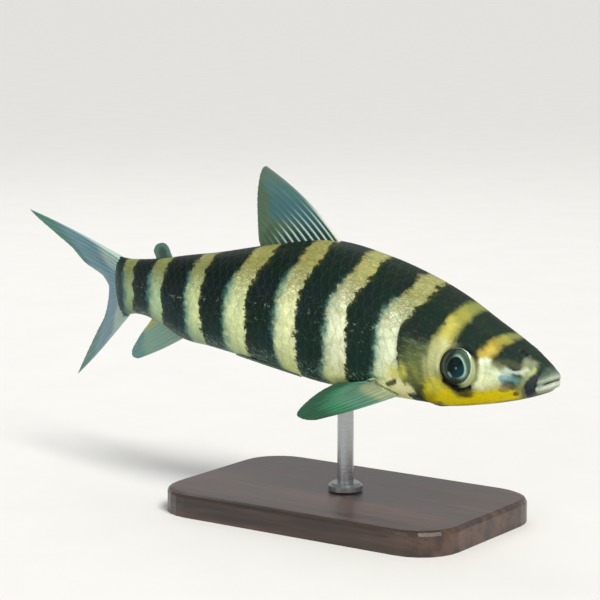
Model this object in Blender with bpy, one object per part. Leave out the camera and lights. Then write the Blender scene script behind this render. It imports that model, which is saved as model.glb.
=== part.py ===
"""A banded headstander, a slender freshwater fish, life size and held by a plain display stand.

Metres, +Z up. The head points to +X, the fish's right side faces -Y, and the origin is at the
middle of the stand's underside. Places on the fish are given along its bent spine as hundredths
of the standard length: back from the snout, to the fish's left, and up.
"""

import math

import bmesh
import bpy
import numpy as np
from mathutils import Matrix, Vector

MM = 0.001
STANDARD_LENGTH = 105 * MM
PERCENT = STANDARD_LENGTH / 100
GAP = 0.3 * MM

# Sections of the body: place along it, top, bottom and half width
SECTIONS = (
    (0.0, -2.55, -2.55, 0.0),
    (0.7, -1.0, -4.2, 1.4),
    (3.0, 0.6, -5.4, 2.6),
    (8.0, 3.3, -7.2, 4.1),
    (14.0, 6.0, -8.9, 5.5),
    (20.0, 8.75, -10.2, 6.5),
    (27.0, 11.1, -10.65, 7.1),
    (36.0, 13.05, -11.1, 7.5),
    (47.0, 13.95, -11.2, 7.65),
    (60.0, 11.2, -9.95, 6.8),
    (72.0, 8.3, -9.0, 5.45),
    (79.0, 7.1, -8.5, 4.4),
    (85.0, 6.15, -6.5, 3.35),
    (92.0, 5.6, -4.95, 2.4),
    (96.0, 5.65, -4.9, 1.75),
    (100.0, 6.3, -5.8, 0.9),
)
WIDEST_LEVEL = 0.48
SECTION_POWER = 0.92

# The bend of the spine about its middle: angles in radians by the place along the body
BEND_MIDDLE = 50.0
YAW_BEND = (0.0, 0.198, 1.03)
PITCH_BEND = (0.0777, -0.132, -0.562)

# Where the body is parted into its nodes
GILL_EDGE = 27.75
GILL_BLEND = 25.0
NAPE_FORWARD = 3.0
THROAT_FORWARD = 6.0
HEAD_CAP_MIDDLE = 26.0
TRUNK_END = 76.0
TAIL_END = 100.2
TAIL_CORNER_FORWARD = 1.4
TAIL_MIDDLE = 0.25
TAIL_HALF = 6.0

# Mouth, nostrils and eyes
MOUTH_LEVEL = -2.55
MOUTH_DROP = 0.65
MOUTH_HALF = 1.8
SLIT_DEPTH = 0.55 * MM
SLIT_WIDTH = 0.28 * MM
LIP_HEIGHT = 0.3 * MM
LIP_LEVEL = 0.8 * MM
LIP_WIDTH = 0.5 * MM
NOSTRIL = (5.1, 1.85, 1.2)
NOSTRIL_DEPTH = 0.7 * MM
NOSTRIL_WIDTH = 0.6 * MM
NOSTRIL_RIM = 0.25 * MM
GILL_FLARE = 0.3 * MM
EYE_AT = (16.1, 6.0, -2.2)
EYE_RADIUS = 3.8 * MM
EYE_DEPTH = 2.3 * MM
EYE_SUNK = 1.35 * MM
EYE_FORWARD = math.radians(14)
ORBIT_RADIUS = 3.9 * MM
ORBIT_HEIGHT = 0.2 * MM
ORBIT_WIDTH = 0.7 * MM

# Fins
MEMBRANE_HALF = 0.26 * MM
TIP_HALF = 0.12 * MM
ROOT_HALF = 0.42 * MM
PAIRED_ROOT_HALF = 0.3 * MM
CAUDAL_ROOT_HALF = 0.62 * MM
RAY_RIDGE = 0.22 * MM
RAY_SHARE = 0.27
ADIPOSE_HALF = 0.42 * MM
ADIPOSE_EDGE_HALF = 0.14 * MM
PELVIC_LIFT = 0.6 * MM
PELVIC_AT = 50.2
CAUDAL_SPLIT = 0.16
CAUDAL_SWING_FROM = 3.0

# Stand
BASE_LENGTH = 62 * MM
BASE_WIDTH = 38 * MM
BASE_THICKNESS = 4.5 * MM
BASE_CORNER = 8 * MM
ROD_RADIUS = 1.5 * MM
COLLAR_RADIUS = 3.2 * MM
COLLAR_HEIGHT = 1.4 * MM
ROD_AT = 43.0
SPINE_HEIGHT = 36 * MM


def clear_scene():
    """Empty the scene of whatever it holds."""
    for thing in list(bpy.data.objects):
        bpy.data.objects.remove(thing, do_unlink=True)


def through(places, values, at):
    """A smooth curve through the given stations."""
    places = np.asarray(places, float)
    values = np.asarray(values, float)
    at = np.asarray(at, float)
    width = np.diff(places)
    rise = np.diff(values) / width
    slope = np.empty_like(values)
    slope[1:-1] = (width[:-1] * rise[1:] + width[1:] * rise[:-1]) / (width[:-1] + width[1:])
    slope[0] = 2 * rise[0] - slope[1]
    slope[-1] = 2 * rise[-1] - slope[-2]
    cell = np.clip(np.searchsorted(places, at, side="right") - 1, 0, len(width) - 1)
    h = width[cell]
    t = (at - places[cell]) / h
    start = values[cell] * (1 + 2 * t) * (1 - t) ** 2 + slope[cell] * h * t * (1 - t) ** 2
    finish = values[cell + 1] * t * t * (3 - 2 * t) + slope[cell + 1] * h * t * t * (t - 1)
    return start + finish


def blend(x, low, high):
    """Rise smoothly from 0 at low to 1 at high."""
    t = np.clip((np.asarray(x, float) - low) / (high - low), 0, 1)
    return t * t * (3 - 2 * t)


def unit(v):
    """Vectors of length one."""
    return v / np.maximum(np.linalg.norm(v, axis=-1, keepdims=True), 1e-12)


def spine_axes(s):
    """Forward, left and up directions of the body at a place along it."""
    t = (np.asarray(s, float) - BEND_MIDDLE) / 100
    yaw = YAW_BEND[0] + YAW_BEND[1] * t + YAW_BEND[2] * t * t
    pitch = PITCH_BEND[0] + PITCH_BEND[1] * t + PITCH_BEND[2] * t * t
    flat = np.zeros_like(yaw)
    forward = np.stack([np.cos(yaw) * np.cos(pitch), -np.sin(yaw) * np.cos(pitch), -np.sin(pitch)], -1)
    left = np.stack([np.sin(yaw), np.cos(yaw), flat], -1)
    return forward, left, np.cross(forward, left)


SPINE_PLACES = np.linspace(0, 130, 1301)
SPINE_STEPS = -spine_axes(SPINE_PLACES)[0] * (SPINE_PLACES[1] - SPINE_PLACES[0]) * PERCENT
SPINE_POINTS = np.cumsum(SPINE_STEPS, axis=0)
SPINE_POINTS -= SPINE_POINTS[np.searchsorted(SPINE_PLACES, ROD_AT)]
SPINE_POINTS += np.array([0, 0, SPINE_HEIGHT])


def spine(s):
    """Points of the spine."""
    return np.stack([np.interp(s, SPINE_PLACES, SPINE_POINTS[:, i]) for i in range(3)], -1)


def place(s, y, z):
    """World points from places along, across and up the body."""
    s = np.asarray(s, float)
    y = np.asarray(y, float)[..., None] * PERCENT
    z = np.asarray(z, float)[..., None] * PERCENT
    left, up = spine_axes(s)[1:]
    return spine(s) + left * y + up * z


def profile(column, s):
    """One column of the section table, eased so that the snout is round."""
    places = np.sqrt([row[0] for row in SECTIONS])
    return through(places, [row[column] for row in SECTIONS], np.sqrt(np.maximum(s, 0)))


def top_of(s):
    return profile(1, s)


def bottom_of(s):
    return profile(2, s)


def widest_of(s):
    """Level of the widest line, which starts at the mouth."""
    low = bottom_of(s)
    level = low + (top_of(s) - low) * WIDEST_LEVEL
    slit = MOUTH_LEVEL - MOUTH_DROP * np.minimum(np.asarray(s, float) / 1.3, 1.6)
    return slit + (level - slit) * blend(s, 1.3, 6.0)


def section(s, a):
    """Across and up places of the skin at an angle about the spine, 0 at the left side."""
    c = np.cos(a)
    n = np.sin(a)
    level = widest_of(s)
    reach = np.where(n > 0, top_of(s) - level, level - bottom_of(s))
    y = profile(3, s) * np.sign(c) * np.abs(c) ** SECTION_POWER
    z = level + reach * np.sign(n) * np.abs(n) ** SECTION_POWER
    return y, z


def gill_place(a):
    """How far back the gill opening lies at an angle about the spine."""
    n = np.sin(a)
    up = np.maximum(n, 0) ** 2
    down = np.maximum(-n, 0) ** 2
    return GILL_EDGE - NAPE_FORWARD * up - THROAT_FORWARD * down


def relief(s, a, y, z):
    """Height of the lips, the mouth line, the nostrils and the gill cover's edge over the skin."""
    slit = MOUTH_LEVEL - MOUTH_DROP * (y / MOUTH_HALF) ** 2
    across = np.abs(z - slit) * PERCENT
    near_front = 1 - blend(s, 1.6, 4.2)
    line = 1 - blend(np.abs(y), MOUTH_HALF * 0.85, MOUTH_HALF * 1.15)
    height = -SLIT_DEPTH * np.exp(-(across / SLIT_WIDTH) ** 2) * line * near_front
    lips = np.exp(-((across - LIP_LEVEL) / LIP_WIDTH) ** 2) * (1 - blend(np.abs(y), 2.2, 3.2))
    height = height + LIP_HEIGHT * lips * near_front
    away = (s - NOSTRIL[0]) ** 2 + (np.abs(y) - NOSTRIL[1]) ** 2 + (z - NOSTRIL[2]) ** 2
    away = np.sqrt(away) * PERCENT / NOSTRIL_WIDTH
    height = height - NOSTRIL_DEPTH * np.exp(-away ** 2)
    height = height + NOSTRIL_RIM * np.exp(-((away - 1.9) / 0.7) ** 2)
    orbit = np.hypot(s - EYE_AT[0], z - EYE_AT[2]) * PERCENT
    height = height + ORBIT_HEIGHT * np.exp(-((orbit - ORBIT_RADIUS) / ORBIT_WIDTH) ** 2)
    behind = s - gill_place(a)
    open_side = 1 - blend(np.sin(a), 0.45, 0.85)
    flare = np.where(behind <= 0, np.exp(behind / 1.6), -0.8 * np.exp(-behind / 1.2))
    return height + GILL_FLARE * flare * open_side


def skin(s, a):
    """World points of the finished skin."""
    step_s = 0.01
    step_a = 0.001
    s = np.asarray(s, float)
    a = np.asarray(a, float)
    y, z = section(s, a)
    base = place(s, y, z)
    along = place(s + step_s, *section(s + step_s, a)) - base
    around = place(s, *section(s, a + step_a)) - base
    out = unit(np.cross(around, along))
    return base - out * relief(s, a, y, z)[..., None]


def ring_angles(count, side_share):
    """Angles about the spine, set closer at the two sides where the face and gills are."""
    t = np.linspace(0, 2 * math.pi, count, endpoint=False)
    return t - side_share / 2 * np.sin(2 * t)


def material(name, colour, roughness, metallic=0.0):
    """A plain finish of its own for one piece."""
    finish = bpy.data.materials.new(name)
    finish.use_nodes = True
    shader = finish.node_tree.nodes["Principled BSDF"]
    shader.inputs["Base Color"].default_value = (*colour, 1)
    shader.inputs["Roughness"].default_value = roughness
    shader.inputs["Metallic"].default_value = metallic
    finish.diffuse_color = (*colour, 1)
    return finish


def solid(name, points, faces, finish, sharp=40):
    """An object from points and faces, with its faces turned outward and shaded smooth."""
    mesh = bpy.data.meshes.new(name)
    work = bmesh.new()
    verts = [work.verts.new(Vector(p)) for p in points]
    for face in faces:
        work.faces.new([verts[i] for i in face])
    bmesh.ops.recalc_face_normals(work, faces=work.faces)
    work.to_mesh(mesh)
    work.free()
    mesh.shade_smooth()
    mesh.set_sharp_from_angle(angle=math.radians(sharp))
    mesh.materials.append(finish)
    thing = bpy.data.objects.new(name, mesh)
    bpy.context.scene.collection.objects.link(thing)
    return thing


def loft(name, rings, start, finish_point, finish):
    """A closed body over rings of points, drawn to one point at each end."""
    count = len(rings[0])
    points = [start] + [p for ring in rings for p in ring] + [finish_point]
    faces = []
    last = len(points) - 1
    for j in range(count):
        k = (j + 1) % count
        faces.append((0, 1 + j, 1 + k))
        faces.append((last - count + j, last - count + k, last))
        for i in range(len(rings) - 1):
            low = 1 + i * count
            high = low + count
            faces.append((low + j, low + k, high + k))
            faces.append((low + j, high + k, high + j))
    return solid(name, points, faces, finish)


def make_head():
    """Head from the snout to the edge of the gill cover, with a socket for each eye."""
    angles = ring_angles(44, 0.45)
    reach = gill_place(angles)
    rings = []
    for q in np.linspace(0, math.sqrt(GILL_EDGE), 41)[1:]:
        s = q * q + (reach - GILL_EDGE) * blend(q * q, GILL_EDGE - GILL_BLEND, GILL_EDGE)
        rings.append(skin(s, angles))
    snout = skin(np.array(0.0004), np.array(0.0))
    back = place(HEAD_CAP_MIDDLE, 0.0, float(widest_of(HEAD_CAP_MIDDLE)))
    head = loft("head", rings, snout, back, material("head", (0.45, 0.42, 0.16), 0.4))
    for side in (-1, 1):
        socket = eyeball("socket_cutter", side, GAP, None)
        socket.hide_render = True
        socket.display_type = "WIRE"
        cut = head.modifiers.new("socket", "BOOLEAN")
        cut.operation = "DIFFERENCE"
        cut.solver = "EXACT"
        cut.object = socket
    return head


def make_trunk():
    """Trunk from the gill opening to the vent."""
    angles = ring_angles(40, 0.2)
    reach = gill_place(angles)
    gap = GAP / PERCENT
    rings = []
    for s0 in np.linspace(GILL_EDGE, TRUNK_END - gap / 2, 25):
        ahead = (reach - GILL_EDGE) * (1 - blend(s0, GILL_EDGE, GILL_EDGE + GILL_BLEND))
        start_gap = gap * (1 - blend(s0, GILL_EDGE, GILL_EDGE + 4))
        rings.append(skin(s0 + ahead + start_gap, angles))
    front_at = HEAD_CAP_MIDDLE + gap
    front = place(front_at, 0.0, float(widest_of(front_at)))
    back_at = TRUNK_END - gap / 2
    back = place(back_at, 0.0, float(widest_of(back_at)))
    return loft("trunk", rings, front, back, material("trunk", (0.35, 0.34, 0.16), 0.4))


def tail_end(z):
    """How far back the end of the tail lies at a level, furthest at the middle."""
    return TAIL_END - TAIL_CORNER_FORWARD * ((z - TAIL_MIDDLE) / TAIL_HALF) ** 2


def make_tail():
    """Tail from the vent to the root of the tail fin."""
    angles = ring_angles(32, 0.0)
    start = TRUNK_END + GAP / PERCENT / 2
    rings = []
    for s0 in np.linspace(start, TAIL_END, 14):
        level = section(s0, angles)[1]
        s = s0 + (tail_end(level) - TAIL_END) * blend(s0, 90, TAIL_END)
        rings.append(skin(s, angles))
    front = place(start, 0.0, float(widest_of(start)))
    back = place(TAIL_END, 0.0, TAIL_MIDDLE)
    return loft("tail", rings, front, back, material("tail", (0.3, 0.3, 0.16), 0.4))


def eyeball(name, side, grow, finish):
    """A flattened ball whose axis looks out of the side of the head and a little forward."""
    s, y, z = EYE_AT
    forward, left, up = (Vector(v) for v in spine_axes(s))
    out = (left * side * math.cos(EYE_FORWARD) + forward * math.sin(EYE_FORWARD)).normalized()
    across = up.cross(out).normalized()
    middle = Vector(place(s, y * side, z)) - out * EYE_SUNK
    work = bmesh.new()
    bmesh.ops.create_uvsphere(work, u_segments=20, v_segments=12, radius=1)
    turn = Matrix((across, out.cross(across), out)).transposed().to_4x4()
    size = Matrix.Diagonal((EYE_RADIUS + grow, EYE_RADIUS + grow, EYE_DEPTH + grow, 1))
    bmesh.ops.transform(work, matrix=Matrix.Translation(middle) @ turn @ size, verts=work.verts)
    mesh = bpy.data.meshes.new(name)
    bmesh.ops.recalc_face_normals(work, faces=work.faces)
    work.to_mesh(mesh)
    work.free()
    mesh.shade_smooth()
    if finish:
        mesh.materials.append(finish)
    ball = bpy.data.objects.new(name, mesh)
    bpy.context.scene.collection.objects.link(ball)
    return ball


def plate(name, centre, half, finish):
    """A thin closed plate about a grid of points, split into triangles alike on both faces."""
    rows, columns = half.shape
    normal = unit(np.cross(np.gradient(centre, axis=1), np.gradient(centre, axis=0)))
    upper = centre + normal * half[..., None]
    lower = centre - normal * half[..., None]
    points = list(upper.reshape(-1, 3)) + list(lower.reshape(-1, 3))
    under = rows * columns
    faces = []
    for i in range(rows - 1):
        for j in range(columns - 1):
            a = i * columns + j
            b, c, d = a + 1, a + columns + 1, a + columns
            faces += [(a, b, c), (a, c, d)]
            faces += [(under + a, under + c, under + b), (under + a, under + d, under + c)]
    rim = [j for j in range(columns)]
    rim += [i * columns + columns - 1 for i in range(1, rows)]
    rim += [(rows - 1) * columns + j for j in range(columns - 2, -1, -1)]
    rim += [i * columns for i in range(rows - 2, 0, -1)]
    for p, q in zip(rim, rim[1:] + rim[:1]):
        faces += [(p, under + p, under + q), (p, under + q, q)]
    return solid(name, points, faces, finish, sharp=60)


def fin(name, rays, rows, root, tip, bow, finish, ridge=RAY_RIDGE, root_half=ROOT_HALF):
    """A fin of rays from its root line to its edge, each ray a ridge in the membrane's surface.

    root and tip give world points for shares of the way from the first ray to the last.
    bow is how far the rays arch, as a share of their length, toward the first ray.
    """
    crests = np.arange(rays)[:, None] + np.array([-RAY_SHARE, 0, RAY_SHARE])
    u = crests.reshape(-1)[1:-1] / (rays - 1)
    v = np.linspace(0, 1, rows)[:, None, None]
    start = root(u)
    end = tip(u)
    chord = end - start
    lean = unit(np.gradient(end + start, axis=0))
    lean = lean - (lean * unit(chord)).sum(-1, keepdims=True) * unit(chord)
    middle = (start + end) / 2 - unit(lean) * np.linalg.norm(chord, axis=-1, keepdims=True) * bow
    centre = start * (1 - v) ** 2 + middle * 2 * v * (1 - v) + end * v * v
    fall = v[..., 0]
    membrane = MEMBRANE_HALF + (root_half - MEMBRANE_HALF) * (1 - fall) ** 3
    membrane = membrane + (TIP_HALF - MEMBRANE_HALF) * blend(fall, 0.75, 1.0)
    on_ray = (np.arange(len(u)) % 3 == 0)[None, :]
    half = membrane + ridge * on_ray * (1 - blend(fall, 0.6, 1.0) * 0.7)
    return plate(name, centre, half, finish)


def path(*stops):
    """A smooth line through stops of (share, then places), as a function of the share."""
    shares = [stop[0] for stop in stops]
    return lambda u: [through(shares, [stop[i] for stop in stops], u) for i in range(1, len(stops[0]))]


def make_dorsal():
    """Dorsal fin on the middle of the back."""
    clear = GAP / PERCENT

    def root(u):
        s = 45.5 + 15.2 * u
        return place(s, 0 * u, top_of(s) + clear)

    edge = path((0, 61.9, 25.3), (0.25, 63.1, 22.2), (0.5, 63.4, 19.0), (0.75, 63.0, 15.6), (1, 62.2, 12.6))

    def tip(u):
        s, z = edge(u)
        return place(s, 0.35 * np.sin(math.pi * u), z)

    return fin("dorsal_fin", 12, 7, root, tip, 0.07, material("dorsal_fin", (0.16, 0.28, 0.22), 0.35))


def make_adipose():
    """Small fleshy fin behind the dorsal fin, without rays, fullest along its middle."""
    edge = path((0, 84.2, 7.5), (0.3, 85.2, 8.55), (0.6, 86.6, 8.8), (0.8, 87.9, 8.3), (1, 88.6, 7.1))
    u = np.linspace(0, 1, 9)
    v = np.linspace(0, 1, 6)[:, None]
    root_s = 83.0 + 4.4 * u
    edge_s, edge_z = edge(u)
    start = place(root_s, 0 * u, top_of(root_s) + GAP / PERCENT)
    centre = start + (place(edge_s, 0 * u, edge_z) - start) * v[..., None]
    fullness = np.sin(math.pi * u) ** 0.7 * (1 - 0.8 * v * v)
    half = ADIPOSE_EDGE_HALF + (ADIPOSE_HALF - ADIPOSE_EDGE_HALF) * fullness
    return plate("adipose_fin", centre, half, material("adipose_fin", (0.06, 0.15, 0.14), 0.4))


def make_anal():
    """Anal fin under the tail."""
    clear = GAP / PERCENT

    def root(u):
        s = 80.0 + 9.4 * u
        return place(s, 0 * u, bottom_of(s) - clear)

    edge = path((0, 95.0, -13.35), (0.15, 97.0, -13.0), (0.3, 97.2, -12.1), (0.6, 95.0, -9.9), (1, 91.2, -6.9))

    def tip(u):
        s, z = edge(u)
        return place(s, 0 * u, z)

    return fin("anal_fin", 10, 6, root, tip, 0.03, material("anal_fin", (0.2, 0.34, 0.3), 0.35))


def tail_place(back, left, up):
    """World points from distances behind, left of and above the spine at the tail fin's root."""
    forward, side, rise = spine_axes(100.0)
    back = np.asarray(back, float)[..., None] * PERCENT
    left = np.asarray(left, float)[..., None] * PERCENT
    up = np.asarray(up, float)[..., None] * PERCENT
    return spine(100.0) - forward * back + side * left + rise * up


def make_caudal_lobe(name, sign, corner, edge, swing):
    """One lobe of the forked tail fin, swung to a side of its own."""
    clear = GAP / PERCENT

    def swung(back):
        return swing * back * np.abs(back) / (np.abs(back) + CAUDAL_SWING_FROM)

    def root(u):
        up = sign * (corner + (CAUDAL_SPLIT - corner) * u)
        back = tail_end(up) - 100 + clear
        return tail_place(back, 0 * u, up)

    def tip(u):
        back, up = edge(u)
        return tail_place(back, swung(back), sign * up)

    finish = material(name, (0.2, 0.36, 0.36), 0.35)
    return fin(name, 9, 8, root, tip, 0.03, finish, root_half=CAUDAL_ROOT_HALF)


def make_caudal():
    """The forked tail fin in its two lobes."""
    upper = path((0, 24.5, 16.2), (0.12, 22.4, 14.5), (0.32, 17.1, 10.9), (0.5, 13.0, 8.1),
                 (0.66, 9.7, 5.1), (0.85, 5.3, 2.3), (1, 3.7, CAUDAL_SPLIT))
    lower = path((0, 24.7, 17.35), (0.14, 20.2, 14.0), (0.4, 12.9, 8.8), (0.66, 7.5, 5.0),
                 (0.85, 4.9, 1.8), (1, 4.2, CAUDAL_SPLIT))
    make_caudal_lobe("caudal_fin_upper", 1, 5.9, upper, -0.227)
    make_caudal_lobe("caudal_fin_lower", -1, 5.65, lower, 0.134)


def outward(s, a):
    """Direction out of the skin."""
    step_s = 0.05
    step_a = 0.01
    here = skin(s, a)
    around = skin(s, a + step_a) - here
    along = skin(s + step_s, a) - here
    return -unit(np.cross(around, along))


def angle_at(s, z, side):
    """Angle about the spine of the skin at a level, on the left side for 1 or the right for -1."""
    level = widest_of(s)
    reach = np.where(z > level, top_of(s) - level, level - bottom_of(s))
    share = np.clip(np.abs(z - level) / reach, 0, 1) ** (1 / SECTION_POWER)
    a = np.arcsin(share) * np.sign(z - level)
    return a if side > 0 else math.pi - a


def make_pectoral(name, side, swing):
    """Pectoral fin low behind the gill opening, its edge swung outward about its root by an angle."""
    root_line = path((0, 28.9, -9.3), (1, 30.6, -6.6))
    edge = path((0, 43.7, 6.0, -16.6), (0.2, 46.3, 6.15, -17.0), (0.4, 47.8, 6.2, -16.4),
                (0.6, 46.5, 6.2, -14.4), (0.8, 43.3, 6.15, -11.4), (1, 39.5, 6.3, -9.0))
    pivot_y = 5.2
    pivot_z = -8.0

    def root(u):
        s, z = root_line(u)
        a = angle_at(s, z, side)
        return skin(s, a) + outward(s, a) * (GAP + PAIRED_ROOT_HALF)

    def tip(u):
        s, y, z = edge(u)
        out = y - pivot_y
        up = z - pivot_z
        swung_y = pivot_y + out * math.cos(swing) - up * math.sin(swing)
        swung_z = pivot_z + out * math.sin(swing) + up * math.cos(swing)
        return place(s, side * swung_y, swung_z)

    finish = material(name, (0.1, 0.36, 0.24), 0.35)
    return fin(name, 12, 7, root, tip, 0.03, finish, root_half=PAIRED_ROOT_HALF)


def make_pelvic(name, side):
    """Pelvic fin folded back along the belly, following its surface."""
    inner = 0.12
    outer = 0.4
    spread = 1.25
    length = path((0, 12.6), (0.15, 14.0), (0.4, 13.2), (0.7, 9.6), (1, 6.2))

    def following(s, lean, lift):
        a = -math.pi / 2 + side * lean
        return skin(s, a) + outward(s, a) * lift

    def root(u):
        return following(PELVIC_AT + 0.8 * u, outer + (inner - outer) * u, GAP + PAIRED_ROOT_HALF)

    def tip(u):
        return following(PELVIC_AT + length(u)[0], (outer + (inner - outer) * u) * spread, PELVIC_LIFT)

    finish = material(name, (0.3, 0.36, 0.26), 0.35)
    return fin(name, 8, 6, root, tip, 0.0, finish, ridge=RAY_RIDGE / 2, root_half=PAIRED_ROOT_HALF)


def make_stand():
    """Flat base with rounded corners, and one upright rod whose end meets the belly."""
    corner_steps = 6
    outline = []
    for qx, qy, turn in ((1, 1, 0), (-1, 1, 90), (-1, -1, 180), (1, -1, 270)):
        for i in range(corner_steps + 1):
            a = math.radians(turn + 90 * i / corner_steps)
            x = qx * (BASE_LENGTH / 2 - BASE_CORNER) + BASE_CORNER * math.cos(a)
            y = qy * (BASE_WIDTH / 2 - BASE_CORNER) + BASE_CORNER * math.sin(a)
            outline.append((x, y))
    edge = 0.8 * MM
    levels = ((0, 0), (0, BASE_THICKNESS - edge), (edge * 0.3, BASE_THICKNESS - edge * 0.3), (edge, BASE_THICKNESS))
    rings = []
    for inset, z in levels:
        shrink_x = 1 - inset / (BASE_LENGTH / 2)
        shrink_y = 1 - inset / (BASE_WIDTH / 2)
        rings.append([(x * shrink_x, y * shrink_y, z) for x, y in outline])
    wood = material("stand_base", (0.035, 0.03, 0.028), 0.35)
    loft("stand_base", rings, (0, 0, 0), (0, 0, BASE_THICKNESS), wood)

    sides = 20
    turn = [2 * math.pi * i / sides for i in range(sides)]
    s = np.linspace(ROD_AT - 8, ROD_AT + 8, 161)
    belly = place(s, 0 * s, bottom_of(s))
    order = np.argsort(belly[:, 0])
    low = BASE_THICKNESS + GAP

    def belly_height(x):
        return float(np.interp(x, belly[order, 0], belly[order, 2])) - GAP

    rod_rings = []
    for radius, z in ((COLLAR_RADIUS, low), (COLLAR_RADIUS, low + COLLAR_HEIGHT * 0.6),
                      (COLLAR_RADIUS * 0.8, low + COLLAR_HEIGHT), (ROD_RADIUS, low + COLLAR_HEIGHT)):
        rod_rings.append([(radius * math.cos(a), radius * math.sin(a), z) for a in turn])
    top = [(ROD_RADIUS * math.cos(a), ROD_RADIUS * math.sin(a)) for a in turn]
    rod_rings.append([(x, y, belly_height(x)) for x, y in top])
    steel = material("stand_rod", (0.55, 0.56, 0.58), 0.25, 1.0)
    loft("stand_rod", rod_rings, (0, 0, low), (0, 0, belly_height(0)), steel)


def main():
    """Build the fish and its stand."""
    clear_scene()
    make_head()
    make_trunk()
    make_tail()
    for name, side in (("eye_right", -1), ("eye_left", 1)):
        eyeball(name, side, 0, material(name, (0.03, 0.05, 0.06), 0.1))
    make_dorsal()
    make_adipose()
    make_anal()
    make_caudal()
    make_pectoral("pectoral_fin_right", -1, 0.0)
    make_pectoral("pectoral_fin_left", 1, math.radians(55))
    make_pelvic("pelvic_fin_right", -1)
    make_pelvic("pelvic_fin_left", 1)
    make_stand()


main()
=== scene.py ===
"""The looks of the banded headstander: scaled skin, rayed fins, glassy eyes, stand, floor and light.

Metres, +Z up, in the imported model's frame. Places on the fish follow its bent spine in hundredths
of the standard length: s back from the snout, y to the fish's left, z up. The turn of a place on
the skin is its angle in degrees above (+) or below (-) the widest line of the side. Colours are
screen values of 0 to 255.
"""

import math
from types import SimpleNamespace

import bpy
import numpy as np
from mathutils import Matrix, Vector


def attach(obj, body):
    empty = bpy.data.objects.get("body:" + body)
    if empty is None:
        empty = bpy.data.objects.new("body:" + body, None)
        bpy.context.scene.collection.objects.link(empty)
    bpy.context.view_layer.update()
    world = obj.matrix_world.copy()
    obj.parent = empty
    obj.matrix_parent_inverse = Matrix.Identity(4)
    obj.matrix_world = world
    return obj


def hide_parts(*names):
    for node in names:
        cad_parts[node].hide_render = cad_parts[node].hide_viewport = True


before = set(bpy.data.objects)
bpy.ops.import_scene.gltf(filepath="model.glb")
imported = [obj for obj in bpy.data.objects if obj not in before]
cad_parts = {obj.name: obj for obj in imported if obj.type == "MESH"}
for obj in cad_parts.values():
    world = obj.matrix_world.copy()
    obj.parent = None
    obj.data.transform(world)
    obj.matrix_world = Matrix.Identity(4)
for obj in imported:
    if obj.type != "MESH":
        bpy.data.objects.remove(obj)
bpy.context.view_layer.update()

MM = 0.001
STANDARD_LENGTH = 105 * MM
PERCENT = STANDARD_LENGTH / 100
PERCENT_IN_MM = PERCENT / MM

# Sections of the body, as in the part: place along it, top, bottom and half width
SECTIONS = (
    (0.0, -2.55, -2.55, 0.0),
    (0.7, -1.0, -4.2, 1.4),
    (3.0, 0.6, -5.4, 2.6),
    (8.0, 3.3, -7.2, 4.1),
    (14.0, 6.0, -8.9, 5.5),
    (20.0, 8.75, -10.2, 6.5),
    (27.0, 11.1, -10.65, 7.1),
    (36.0, 13.05, -11.1, 7.5),
    (47.0, 13.95, -11.2, 7.65),
    (60.0, 11.2, -9.95, 6.8),
    (72.0, 8.3, -9.0, 5.45),
    (79.0, 7.1, -8.5, 4.4),
    (85.0, 6.15, -6.5, 3.35),
    (92.0, 5.6, -4.95, 2.4),
    (96.0, 5.65, -4.9, 1.75),
    (100.0, 6.3, -5.8, 0.9),
)
WIDEST_LEVEL = 0.48
SECTION_POWER = 0.92
BEND_MIDDLE = 50.0
YAW_BEND = (0.0, 0.198, 1.03)
PITCH_BEND = (0.0777, -0.132, -0.562)
GILL_EDGE = 27.75
NAPE_FORWARD = 3.0
THROAT_FORWARD = 6.0
TAIL_END = 100.2
TAIL_CORNER_FORWARD = 1.4
TAIL_MIDDLE = 0.25
TAIL_HALF = 6.0
MOUTH_LEVEL = -2.55
MOUTH_DROP = 0.65
MOUTH_HALF = 1.8
NOSTRIL = (5.1, 1.85, 1.2)
EYE_AT = (16.1, 6.0, -2.2)
EYE_RADIUS = 3.8 * MM
EYE_DEPTH = 2.3 * MM
EYE_SUNK = 1.35 * MM
EYE_FORWARD = math.radians(14)
ROD_AT = 43.0
SPINE_HEIGHT = 36 * MM

# Relief of the head, as humps (+) and hollows (-): distance from their line, width and height in mm
SLIT = (0.0, 0.14, -0.34)
LIPS = (0.7, 0.6, 0.24)
CHIN_FOLD = (-1.7, 0.35, -0.14)
UPPER_FOLD = (1.8, 0.4, -0.06)
CORNER_PIT = (0.0, 0.5, -0.25)
EYE_RIMS = ((4.15, 0.45, 0.2), (3.35, 0.3, -0.5), (4.9, 0.2, -0.08))

# The mouth: where its slit and lips fade to the side and its relief fades backward, the share of the
# relief left at the tip of the snout, and the place (s, z) of its corner
SLIT_ENDS = (MOUTH_HALF * 0.85, MOUTH_HALF * 1.12)
LIP_ENDS = (2.1, 3.0)
MOUTH_FADES = (1.6, 4.2)
MOUTH_AT_TIP = 0.15
MOUTH_CORNER = (2.6, -3.75)

# The gill cover's rear edge: height in mm, depth of the step behind it as a share of that, how far
# ahead of the edge it starts to rise, and the sines of the angle where it fades toward the back
GILL_FLARE = 0.34
GILL_STEP = 1.1
GILL_RISE = 1.5
GILL_FADES = (0.45, 0.85)

# The two nostrils of a side: back, out and up from the first, radius and depth in mm; and the rim
# round each: distance and width in its radii, height in mm
NOSTRIL_PITS = ((0, 0, 0, 0.34, 0.45), (0.8, 0.25, 0.36, 0.38, 0.35))
NOSTRIL_RIM = (1.75, 0.5, 0.06)

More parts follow.
